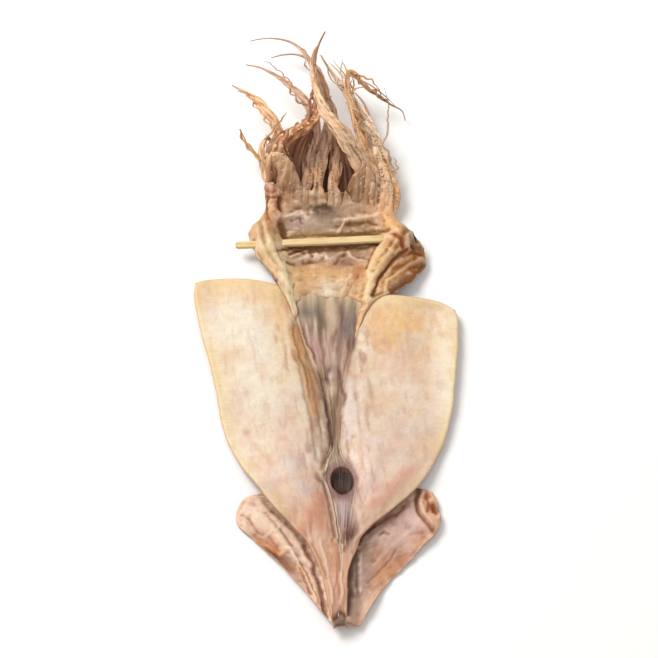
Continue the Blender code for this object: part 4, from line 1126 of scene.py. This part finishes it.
def add_sucker(cups, foot, normal, ahead, cup):
    """Adds one cup of this radius to the points, tints, lies and faces of a piece."""
    flat = np.cross(normal, ahead)
    flat /= np.linalg.norm(flat)
    other = np.cross(normal, flat)
    start = sum(len(ring) for ring in cups[0])
    for out, high, tint in SUCKER_PROFILE:
        ring = foot + normal * high * cup + cup * out * (
            np.cos(ring_angle)[:, None] * flat + np.sin(ring_angle)[:, None] * other)
        cups[0].append(ring)
        cups[1].append(even(tint, ring_angle))
        cups[2].append(ring)
    cups[3].append(grid_faces(len(SUCKER_PROFILE), SUCKER_SIDES, start, closed=True))


sucker_flesh = flesh("sucker_flesh", mottle=0.3, fibre=0.2, specks=0.0, rough=0.4, gloss=0.5)


def suckers(name, cups):
    """One piece of all these cups."""
    points, tints, lies = (np.concatenate(rows) for rows in cups[:3])
    piece(name, points, cups[3], tints, lies, sucker_flesh)


arm_cups = ([], [], [], [])
for number, (size, colour, twist, route) in enumerate(ARMS.values()):
    length = arm_knots(route)[1][-1]
    draw = np.random.default_rng(200 + number)
    at, row = ARM_ROOT_BACK - 2, 0
    while at < 0.93 * length:
        spot = arm_frame(size, twist, route, np.array([at]))
        line, ahead, sideways, upward, radius = (value[0] for value in spot)
        cup = SUCKER_SHARE * radius * draw.uniform(0.7, 1.15)
        angle = math.pi / 2 + (0.50 if row % 2 else -0.50)
        wide = radius * float(arm_section(np.array(angle)))
        foot = line + sideways * wide * math.cos(angle) + upward * ARM_FLATNESS * wide * math.sin(angle)
        foot = foot + upward * 0.9 * (1 - float(ramp(at, ARM_ROOT_BACK + 8, ARM_ROOT_BACK + 14)))
        normal = sideways * math.cos(angle) * 0.8 + upward * math.sin(angle)
        normal = normal + ahead * draw.uniform(-0.25, 0.25)
        at += max(1.15 * cup, 0.9) * draw.uniform(1.0, 1.4)
        row += 1
        if draw.uniform() < 0.75:
            add_sucker(arm_cups, foot, normal / np.linalg.norm(normal), ahead, cup)
suckers("suckers", arm_cups)

# ---- Head ----
# The head is slit open too and pulled wide: a thin panel between two muscle bands that start in
# tendons on the mantle. The bands rise into cheeks over the stick's ends; the right one keeps the
# dried ear-like fold behind the eye.
HEAD_THICK = 2.2
HEAD_ROWS = 150
HEAD_COLUMNS = 150
PANEL_HEIGHT = 3.4
HEAD_SLANT = 0.577  # how far back a mark sits on skin that stands higher
HEAD_LEFT = (
    (205, 25.5), (215, 27.5), (224, 31), (233, 36), (241, 40), (250, 47), (258, 52), (267, 55), (277, 54),
    (285, 48), (292, 45), (302, 45), (313, 44),
)
HEAD_RIGHT = (
    (196, 13), (207, 17), (217, 21.5), (225, 29), (229, 38), (234, 44.5), (241, 51.5), (249, 58.5),
    (257, 60.8), (268, 57), (277, 49), (286, 42.5), (296, 40.5), (313, 41),
)
HEAD_BACK = (
    (-1, 205), (-0.93, 209), (-0.86, 219), (-0.7, 224.5), (0, 227), (0.55, 225), (0.74, 220), (0.86, 208),
    (1, 196),
)
HEAD_FRONT = (
    (-1, 306), (-0.6, 307), (-0.32, 302), (-0.1, 305), (0.1, 306), (0.3, 308), (0.6, 308), (1, 302),
)
# The skin runs out over the arms' roots in tongues: (place across, how far, width)
TONGUES = (
    (-0.92, 25, 0.55), (-0.36, 9, 0.10), (-0.22, 13, 0.10), (0.03, 11, 0.10), (0.42, 7, 0.30),
    (0.52, 9, 0.12), (0.69, 12, 0.14), (0.86, 12, 0.12), (0.97, 9, 0.07),
)
CHEEKS = (  # (x, y, rise, half width, half length)
    (-42, 266, 9.2, 9, 13), (45, 269, 10.5, 9, 12), (-40, 301, 4.2, 5.5, 8.5),
)
BAND_LEFT = ((205, -24.5), (224, -27.5), (241, -33.5), (262, -42), (290, -42))
BAND_RIGHT = ((196, 12.5), (215, 17), (231, 22), (250, 30), (269, 43), (295, 38))
BAND_RISE = 2.6
BAND_SPREAD = 5.0
BAND_PALE_SPREAD = 9.0
SIDE_DROOP = 2.2  # of the head's sides in front of the cheeks
EAR_RISE = 4.5
FRONT_RISE = 3.0
ROOT_SUCKERS = 85
# Stains, dents and small lumps: (middle, size, lean, colour, strength, rise); dark marks in dents are
# partly painted shade and pale marks on lumps partly painted highlight
HEAD_MARKS = (
    ((-4, 243), (22, 6.5), 0, (236, 194, 148), 0.9, 0.0),
    ((-3, 231), (5.2, 5.5), 0, (252, 240, 220), 0.95, 0.5),
    ((8, 236), (6, 5), 0, (244, 212, 178), 0.7, 0.0), ((16, 246), (5, 4), 0, (208, 150, 118), 0.6, 0.0),
    ((-8, 255), (22, 4.5), 3, (208, 174, 150), 0.85, -0.4),
    ((8, 253), (4.5, 4), 0, (164, 128, 112), 0.8, -0.4),
    ((-10, 256.5), (2.2, 1.0), 40, (240, 222, 206), 0.85, 0.7),
    ((-5, 256), (1.6, 0.9), -50, (236, 216, 200), 0.8, 0.7),
    ((-1, 255), (1.8, 0.9), 30, (236, 214, 198), 0.8, 0.6),
    ((-19, 255), (6, 1.0), 22, (222, 198, 186), 0.7, 0.6),
    ((-27, 250), (3, 1.6), -12, (140, 108, 92), 0.7, -0.4),
    ((-15, 251), (4, 0.9), 15, (150, 116, 96), 0.7, -0.4),
    ((12, 257.5), (4, 0.9), -35, (240, 216, 200), 0.75, 0.7),
    ((17, 258), (4, 3), 0, (170, 138, 126), 0.7, -0.3),
    ((-25, 257), (6, 2), 20, (150, 116, 102), 0.75, -0.4),
    # the first mark on the next line is painted shadow along the stick's lower edge
    ((0, 262), (30, 1.6), 4, (136, 96, 62), 0.8, -0.4), ((-5, 283), (26, 10), 0, (178, 158, 140), 0.9, 0.0),
    ((-24, 284), (6, 5), 30, (190, 170, 160), 0.7, 0.2),
    # painted shade in the hollow between the stick and the left band
    ((-33, 277), (3.0, 4.4), 8, (70, 34, 18), 0.95, -1.8),
    ((-44, 272), (4, 5), 0, (190, 148, 114), 0.7, 0.0),
    ((-28, 288), (9, 1.2), 16, (232, 208, 194), 0.8, 0.9),
    ((-18, 287), (1.3, 4.0), 24, (226, 202, 184), 0.7, 0.6),
    ((-6, 292.5), (7.5, 4.0), -14, (112, 94, 78), 0.9, -0.3),
    ((6, 280), (1.2, 5.0), -30, (206, 182, 160), 0.7, 0.6),
    ((15, 286.5), (7, 1.5), 9, (240, 212, 184), 0.85, 0.9),
    ((17, 282), (8, 1.5), 6, (128, 100, 70), 0.9, -0.7),
    ((20, 277), (11, 2.5), 6, (158, 132, 100), 0.8, -0.2),
    ((0, 274), (26, 1.5), 4, (158, 122, 64), 0.7, -0.3),
    ((20, 275.5), (12, 1.2), 5, (122, 88, 40), 0.8, -0.4), ((4, 300), (9, 5), 0, (190, 156, 132), 0.6, 0.3),
    ((14, 298), (9, 6), 0, (196, 168, 146), 0.6, 0.2), ((-22, 300), (8, 6), 0, (192, 160, 134), 0.6, 0.3),
    # the last mark on the next line and the mark after it are partly painted highlight on the left band
    ((28, 296), (6, 8), 0, (214, 172, 140), 0.7, 0.3), ((-42, 264), (7, 10), 12, (250, 226, 190), 0.8, 0.3),
    ((-39, 253), (6, 11), 22, (255, 236, 198), 0.95, 0.3),
    ((-46, 284), (5, 9), 0, (226, 180, 138), 0.7, 0.0), ((-38, 286), (4, 7), 0, (226, 178, 152), 0.6, 0.0),
    ((-42, 310), (7, 4.5), 10, (192, 146, 132), 0.85, 0.4),
    ((-39, 300), (5, 4), 0, (200, 130, 100), 0.7, 0.0),
    ((30, 255), (4, 16), -24, (240, 202, 158), 0.8, 0.2), ((44, 268), (7, 7), 0, (186, 126, 92), 0.85, 0.0),
    ((55, 270), (4.5, 8), 0, (140, 116, 100), 0.85, 0.0),
    ((48, 254), (10, 4.5), 36, (160, 98, 50), 0.95, 0.2),
    ((52, 246), (7, 2.4), 40, (148, 94, 56), 0.8, -0.4), ((36, 292), (5, 14), 0, (236, 190, 150), 0.7, 0.2),
    ((-34, 316), (8, 7), 0, (196, 156, 130), 0.6, 0.0),
)
# Old stains over all of it, and two painted highlights: (middle, size, lean, colour, strength)
HEAD_STAINS_AND_HIGHLIGHTS = (
    ((47, 253), (9, 4), 36, (146, 86, 38), 0.60), ((-41, 307), (6, 5), 0, (180, 132, 116), 0.55),
    # the last mark on the next line and the mark after it are painted highlights on the left tendon and the
    # left band
    ((-43, 270), (5, 7), 0, (170, 130, 98), 0.40), ((-28.5, 231), (2.5, 6), 12, (255, 242, 200), 0.45),
    ((-41, 254), (3, 6), 20, (255, 232, 184), 0.50),
)
# Folds and creases: (route, width, rise, colour, strength); pale raised folds are partly painted highlight
# and dark sunken creases partly painted shade
HEAD_LINES = (
    # painted highlight along the left tendon's ridge
    (((-26, 212), (-29, 226), (-32, 238), (-33, 247)), 2.8, 0.7, (255, 238, 208), 0.95),
    (((-37, 240), (-42, 250), (-46, 257)), 2.2, 0.4, (242, 196, 156), 0.75),
    (((-37, 231), (-42, 239), (-48, 248)), 2.2, -0.8, (124, 84, 58), 0.8),
    (((-42, 230), (-39, 231), (-37, 235)), 1.2, -0.6, (70, 40, 20), 0.8),
    (((-26.2, 229), (-25.7, 231.5)), 0.9, -0.6, (120, 84, 50), 0.85),
    (((-39, 256), (-36, 257.5), (-33, 259)), 1.0, -0.4, (214, 164, 112), 0.5),
    (((-50, 262), (-42, 264), (-38, 262)), 2.8, 0.2, (252, 234, 206), 0.7),
    (((-51.5, 265), (-51.5, 258)), 0.7, -0.6, (186, 144, 92), 0.85),
    (((-46, 268), (-43, 276), (-39, 273)), 3.0, 0.2, (186, 144, 112), 0.75),
    (((-31, 240), (-35, 250), (-39, 260), (-42, 270), (-44, 280)), 0.9, -0.22, (226, 186, 150), 0.45),
    (((-35, 241), (-40, 252), (-45, 264), (-48, 276)), 0.9, -0.22, (220, 176, 140), 0.45),
    # painted highlights along ridges of the left band, here and on the next line
    (((-33, 243), (-38, 254), (-42, 265), (-46, 279)), 0.9, 0.5, (255, 238, 212), 0.7),
    (((-38, 244), (-43, 254), (-48, 266), (-50, 278)), 0.8, 0.4, (246, 214, 182), 0.6),
    (((-49, 278), (-50, 290)), 1.8, -0.3, (206, 158, 110), 0.7),
    (((-43, 281), (-44, 291)), 1.2, -0.9, (176, 118, 76), 0.8),
    (((-40, 276), (-37, 284), (-36, 289)), 1.6, 0.5, (214, 158, 136), 0.7),
    (((-50, 303), (-45, 300), (-40, 299)), 1.1, -0.6, (122, 64, 44), 0.85),
    (((-43, 299), (-43.5, 290)), 1.2, -1.3, (104, 48, 24), 0.95),
    (((-35.5, 299), (-34.5, 290)), 1.7, -1.6, (84, 36, 12), 0.95),
    # painted highlight on the eye lump
    (((-48, 305), (-44, 308), (-39, 307.5), (-36, 305)), 1.8, 0.5, (222, 186, 174), 0.8),
    (((-44, 304), (-41, 303), (-38, 304)), 1.0, -0.6, (176, 112, 92), 0.7),
    (((-47, 297), (-47.5, 286)), 1.6, 1.0, (244, 200, 160), 0.85),
    (((-39, 297), (-38.5, 289)), 1.2, 0.6, (214, 146, 110), 0.8),
    # painted shade in the hollow between the stick and the left band
    (((-34.5, 278), (-32.5, 273), (-31.5, 268.5)), 2.4, -2.0, (60, 26, 12), 0.97),
    (((-30, 284), (-25, 287), (-21, 289.5), (-19.5, 286), (-17.5, 283)), 1.2, 0.5, (222, 202, 194), 0.75),
    (((-27, 281), (-22, 284), (-20, 279)), 0.8, -0.4, (164, 140, 134), 0.6),
    (((9, 283.5), (14, 283.5), (20, 284.5), (26, 286.5), (31, 289)), 1.3, 0.7, (248, 218, 186), 0.85),
    (((10, 280), (18, 280.5), (24, 282.5), (29, 281)), 1.3, -0.6, (118, 86, 52), 0.85),
    (((4, 273), (6, 277), (9, 282)), 0.8, 0.6, (218, 194, 170), 0.7),
    (((11, 271), (22, 274), (33, 275.5)), 1.3, -0.6, (118, 86, 42), 0.8),
    # painted shade along the stick's upper edge
    (((-30, 268.5), (0, 270.5), (30, 273.5)), 1.2, -0.3, (136, 104, 56), 0.6),
    # painted shadow under the stick's lower edge
    (((-34, 259.2), (-8, 261.6), (30, 265.2)), 1.2, -0.5, (92, 58, 34), 0.85),
    (((-10, 291), (-6, 294), (-2, 292)), 2.8, -0.3, (84, 66, 52), 0.9),
    (((-28, 253), (-23, 255), (-17, 258)), 0.8, 0.8, (228, 198, 182), 0.8),
    (((-29, 255.5), (-24, 257.5), (-19, 255.5)), 1.1, -0.6, (108, 76, 60), 0.75),
    (((-12.5, 252), (-10.5, 256), (-9, 252.5)), 0.8, 0.6, (246, 226, 208), 0.85),
    (((-7.5, 253.5), (-5.5, 257), (-3, 253)), 0.8, 0.5, (238, 214, 194), 0.8),
    (((-15, 257), (-13, 253)), 0.8, -0.6, (128, 94, 76), 0.7),
    (((9.5, 259.5), (12, 255.5), (16, 252.5), (21, 251.5)), 0.9, 0.6, (238, 208, 186), 0.75),
    (((1, 249), (4, 254), (8, 257)), 1.3, -0.6, (134, 100, 84), 0.75),
    (((-20, 249), (-14, 249.5)), 1.1, -0.5, (144, 106, 82), 0.75),
    (((-30, 248.5), (-26, 247)), 1.3, -0.5, (146, 104, 76), 0.75),
    (((5, 250.5), (12, 249)), 1.6, -0.4, (146, 110, 92), 0.7),
    (((14, 239), (18, 245)), 2.6, 0.0, (208, 146, 112), 0.7),
    (((4, 222), (7, 231), (11, 240)), 1.2, 0.4, (250, 222, 190), 0.7),
    (((8, 224), (13, 234), (17, 242)), 0.8, -0.3, (214, 168, 134), 0.6),
    (((21, 222), (23, 232), (24, 240)), 2.0, 0.7, (254, 232, 190), 0.95),
    (((24, 243), (27, 253), (31, 262), (36, 271)), 2.2, 0.9, (250, 214, 170), 0.85),
    (((22, 246), (25, 256), (29, 264)), 0.8, -0.6, (196, 148, 110), 0.7),
    (((24, 226), (27, 232), (30, 240), (34, 247), (39, 253), (45, 258), (48, 262)),
     1.1, -1.8, (96, 54, 16), 0.96),
    (((33, 229), (35, 236), (42, 243), (49, 249), (56, 254)), 1.6, 1.4, (226, 172, 122), 0.85),
    (((37, 246), (44, 251), (52, 256)), 2.4, 0.2, (164, 102, 54), 0.92),
    # painted shadow in the gap under the ear's lifted lip
    (((36, 226), (39, 231), (46, 236), (52, 240)), 2.9, -1.8, (76, 42, 10), 0.97),
    (((47, 239), (53, 243), (58, 249)), 1.4, -1.0, (112, 70, 30), 0.9),
    (((53.5, 272.5), (54, 268)), 1.3, -1.8, (34, 14, 10), 0.97),
    (((50.5, 264.5), (52, 262)), 1.2, -1.3, (54, 20, 10), 0.95),
    (((48, 272), (53, 275.5), (57.5, 271), (59, 262)), 1.1, 1.2, (212, 190, 166), 0.85),
    (((46, 256), (51, 259.5), (57, 257)), 0.9, -0.9, (124, 74, 46), 0.85),
    (((39, 272), (43, 270), (45, 264), (44, 258)), 1.3, -0.9, (156, 88, 54), 0.85),
    (((46.5, 271), (48.5, 262)), 1.3, 0.9, (214, 168, 146), 0.75),
    (((36, 262), (40, 258.5), (43, 262)), 1.4, 0.7, (232, 180, 140), 0.75),
    (((42, 275.5), (37, 281), (34, 289)), 2.2, 0.9, (252, 210, 162), 0.85),
    (((34, 283), (34, 292)), 1.1, -0.3, (206, 136, 110), 0.65),
    (((39, 290), (37, 300), (35, 312)), 1.8, 0.7, (244, 202, 168), 0.8),
    (((31, 298), (31, 312)), 0.9, -0.7, (168, 118, 88), 0.7),
    (((26, 298), (25, 312)), 1.5, 0.6, (238, 194, 154), 0.7),
    (((43, 292), (41, 304)), 0.9, -0.7, (150, 110, 84), 0.7),
)
column = np.linspace(-1, 1, HEAD_COLUMNS + 1)[None, :]
share = np.linspace(0, 1, HEAD_ROWS + 1)[:, None]
back, front = smooth(HEAD_BACK, column), smooth(HEAD_FRONT, column)
for place, far, wide in TONGUES:
    front = front + far * np.maximum(0, 1 - np.abs(column - place) / wide) ** 1.2
front = front + 1.1 * grain(column * 45, 0.0, 2.4, 81)
y = back + (front - back) * share
half = np.where(column < 0, smooth(HEAD_LEFT, y), smooth(HEAD_RIGHT, y))
half = half + 0.7 * grain(y, np.sign(column) * 40, 7, 71)
x = half * column
over = mantle_middle(x, y) + 0.45 * MANTLE_THICK
away = ramp(y, 226, 248)
z = over * (1 - away) + PANEL_HEIGHT * away
for cx, cy, rise, wide, long in CHEEKS:
    z = z + rise * np.exp(-(((x - cx) / wide) ** 2 + ((y - cy) / long) ** 2) / 2)
in_band = 0.0
for band in (BAND_LEFT, BAND_RIGHT):
    beside = np.exp(-(((x - smooth(band, y)) / BAND_SPREAD) ** 2))
    z = z + BAND_RISE * beside * ramp(y, 200, 235)
    in_band = in_band + np.exp(-(((x - smooth(band, y)) / BAND_PALE_SPREAD) ** 2))
z = z - SIDE_DROOP * ramp(np.abs(column), 0.88, 1.0) * ramp(y, 272, 288)
z = z + EAR_RISE * ramp(x, 40, 56) * (1 - ramp(y, 236, 256)) + FRONT_RISE * ramp(y, 285, 306)

# Its front skin runs out over the arms' roots, spans from arm to arm and sags a little between them
over_arms = np.zeros_like(z)
for size, colour, twist, route in ARMS.values():
    at = np.linspace(2, ARM_ROOT_BACK + 26, 40)
    line, ahead, sideways, upward, radius = arm_frame(size, twist, route, at)
    for (arm_x, arm_y, arm_z), wide in zip(line, radius):
        near = np.clip(1 - ((x - arm_x) ** 2 + (y - arm_y) ** 2) / (wide * 1.15) ** 2, 0, 1)
        arm_top = arm_z + ARM_FLATNESS * 1.12 * wide * np.sqrt(near)
        over_arms = np.maximum(over_arms, arm_top * (near > 0))
for _ in range(3):
    wide = np.pad(over_arms, 1, mode="edge")
    over_arms = (2 * over_arms + wide[:-2, 1:-1] + wide[2:, 1:-1] + wide[1:-1, :-2] + wide[1:-1, 2:]) / 6
spanned = over_arms
for _ in range(9):
    beside = np.pad(spanned, ((0, 0), (1, 1)), mode="edge")
    spanned = np.maximum(spanned, np.maximum(beside[:, :-2], beside[:, 2:]) - 0.5)
skin_over = spanned - 0.45 * HEAD_THICK + 0.25
z = z + np.maximum(skin_over - z, 0) * ramp(y, 290, 300)

# Folds along the bands and across the panel, then colour: pale bands, a brown panel
warp_x = x + 0.9 * grain(x, y, 7, 72)
warp_y = y + HEAD_SLANT * (z - 6.0) + 0.9 * grain(x, y, 7, 73)
across_band = x - np.where(x < 0, smooth(BAND_LEFT, y), smooth(BAND_RIGHT, y))
band_folds = grain(across_band + 1.2 * grain(x, y, 11, 78), y / 9, 3.0, 74, 3)
crumple = grain(x, y, 6, 75, 3)
panel_folds = grain(x / 3, y, 3.2, 76, 3)
shrunk = folds(x, y, 9, 79)
relief = 0.55 * in_band * band_folds + 0.40 * crumple + 0.35 * (1 - np.clip(in_band, 0, 1)) * panel_folds
relief = relief + 0.30 * shrunk * (0.4 + 0.3 * np.clip(in_band, 0, 1))
relief = relief + 0.28 * ramp(y, 296, 306) * folds(x, y / 5, 3.4, 175)
tints = coats(
    even((206, 166, 134), x),
    (in_band, (244, 204, 160)),
    (0.45 * ramp(panel_folds, 0.1, 0.9), (226, 198, 176)),
    (0.45 * ramp(-panel_folds, 0.1, 0.9), (158, 120, 98)),
    (0.35 * ramp(-crumple, 0.1, 0.9), (158, 116, 90)),
    (0.3 * ramp(crumple, 0.1, 0.9), (238, 206, 176)),
)
tints, relief = stained(tints, relief, warp_x, warp_y, HEAD_MARKS)
line_x = x + 0.7 * grain(x, y, 5, 172)
line_y = y + HEAD_SLANT * (z - 10.0) + 0.7 * grain(x, y, 5, 173)
tints, relief = creased(tints, relief, line_x, line_y, HEAD_LINES)

# Painted shade darkens the skin over the arms' roots between the arms; on the arms it is marbled
notch = ramp(over_arms, 1.0, 6.0)
tints = wash(tints, 0.40 * (1 - notch) * ramp(y, 299, 306), (112, 74, 54))
tongue = ramp(y, 299, 306) * notch
marbled = grain(x, y / 2, 3.0, 174, 3)
tints = coats(
    tints,
    (0.6 * tongue, (236, 198, 168)),
    (0.45 * tongue * ramp(-marbled, 0.0, 0.9), (166, 122, 96)),
    (0.6 * tongue * ramp(marbled, 0.0, 0.9), (234, 202, 172)),
)
# Painted shade in the hollows of the relief and painted highlight on its rises
tints = paint_shade_and_highlight(tints, relief, 0.5, (124, 76, 44), (255, 232, 200), 0.75)
tints, relief = stained(tints, relief, x, y, HEAD_STAINS_AND_HIGHLIGHTS)
from_side = half * (1 - np.abs(column))
from_margin = np.minimum(from_side, np.minimum(y - back, front - y))
relief = relief * ramp(y, 196, 222)
middle = np.stack([x, y, z - 0.6 * (1 - ramp(y - back, 0, 8))], -1)
upper, lower = two_sides(middle, HEAD_THICK * rounded(from_margin), relief, 0.2 * crumple)
skin = wash(even((184, 132, 106), x), 0.8 * ramp(grain(x, y, 14, 77), -0.3, 0.7), (140, 88, 72))
head_flesh = flesh("head_flesh", mottle=0.35, fibre=0.35, specks=0.08, rough=0.48, gloss=0.4, rich=1.2)
sheet("head", upper, lower, tints, skin, (y, x, 0.0), 9, head_flesh)

# Where the skin runs out over the arms' roots, their innermost suckers sit on it
facing = np.cross(np.gradient(upper, axis=1), np.gradient(upper, axis=0))
facing /= np.linalg.norm(facing, axis=2, keepdims=True)
draw = np.random.default_rng(91)
open_skin = np.argwhere((y > 303) & (over_arms > 4) & (from_margin > 1.2))
root_cups = ([], [], [], [])
for row, place in draw.choice(open_skin, ROOT_SUCKERS, replace=False):
    add_sucker(root_cups, upper[row, place], facing[row, place], (0.0, 1.0, 0.0), draw.uniform(0.5, 0.95))
suckers("root_suckers", root_cups)

# ---- Bamboo stick ----
# A strip split from a bamboo cane, shaved smooth and cut to length with a knife. It is pushed
# through the left cheek and into the right one, to hold the head spread.
STICK_LENGTH = 112.0
STICK_WIDTH = 5.0
STICK_THICK = 2.6
STICK_MIDDLE = (-8.0, 266.2, 9.3)
STICK_TURN = math.radians(5.2)
STICK_STATIONS = 120
STICK_OUTLINE = (
    (-1.0, -0.55), (-1.0, 0.5), (-0.86, 0.9), (-0.5, 1.0), (0.0, 1.0), (0.5, 0.98), (0.88, 0.88),
    (1.0, 0.45), (1.0, -0.6), (0.85, -0.95), (0.0, -1.0), (-0.85, -0.95),
)
along = np.linspace(-1, 1, STICK_STATIONS + 1)
cut = np.clip((1 - np.abs(along)) / 0.035, 0, 1)
narrow = 0.62 + 0.38 * np.sqrt(cut)
across, high = np.array(STICK_OUTLINE).T
u = along[:, None] * STICK_LENGTH / 2 * np.ones_like(across)
fray = 1 + 0.03 * grain(u, across * 4, 5, 300)
v = across * STICK_WIDTH / 2 * narrow[:, None] * fray * 0.985
dents = 1 + 0.04 * grain(u / 6, across * 5, 2, 301)
w = high * STICK_THICK / 2 * (0.75 + 0.25 * cut[:, None]) * dents * 0.96
c, s = math.cos(STICK_TURN), math.sin(STICK_TURN)
ring = np.stack([c * u - s * v, s * u + c * v, w], -1) + STICK_MIDDLE
fibre_line = grain(u / 14, across * 6, 1.6, 302)
tints = coats(
    even((250, 224, 174), u),
    (0.5 * ramp(fibre_line, 0.1, 0.9), (224, 184, 126)),
    (0.4 * ramp(-fibre_line, 0.1, 0.9), (255, 242, 204)),
    (0.55 * (1 - cut[:, None]), (206, 160, 96)),
    (0.35 * blot(u, v, (52, 0), (8, 3)), (196, 146, 84)),
)
bamboo = flesh("bamboo", mottle=0.15, fibre=0.9, specks=0.0, rough=0.42, gloss=0.5)
lie = np.stack([u, v + 7 * w, w], -1)
stick = piece(
    "bamboo_strip", with_ends(ring, ring[0].mean(0), ring[-1].mean(0)), tube_faces(len(along), len(across)),
    with_ends(tints, tints[0, 0], tints[-1, 0]), with_ends(lie, lie[0, 0], lie[-1, -1]),
    bamboo, node="bamboo_stick",
)
stick.data.set_sharp_from_angle(angle=math.radians(35))

low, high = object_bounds()
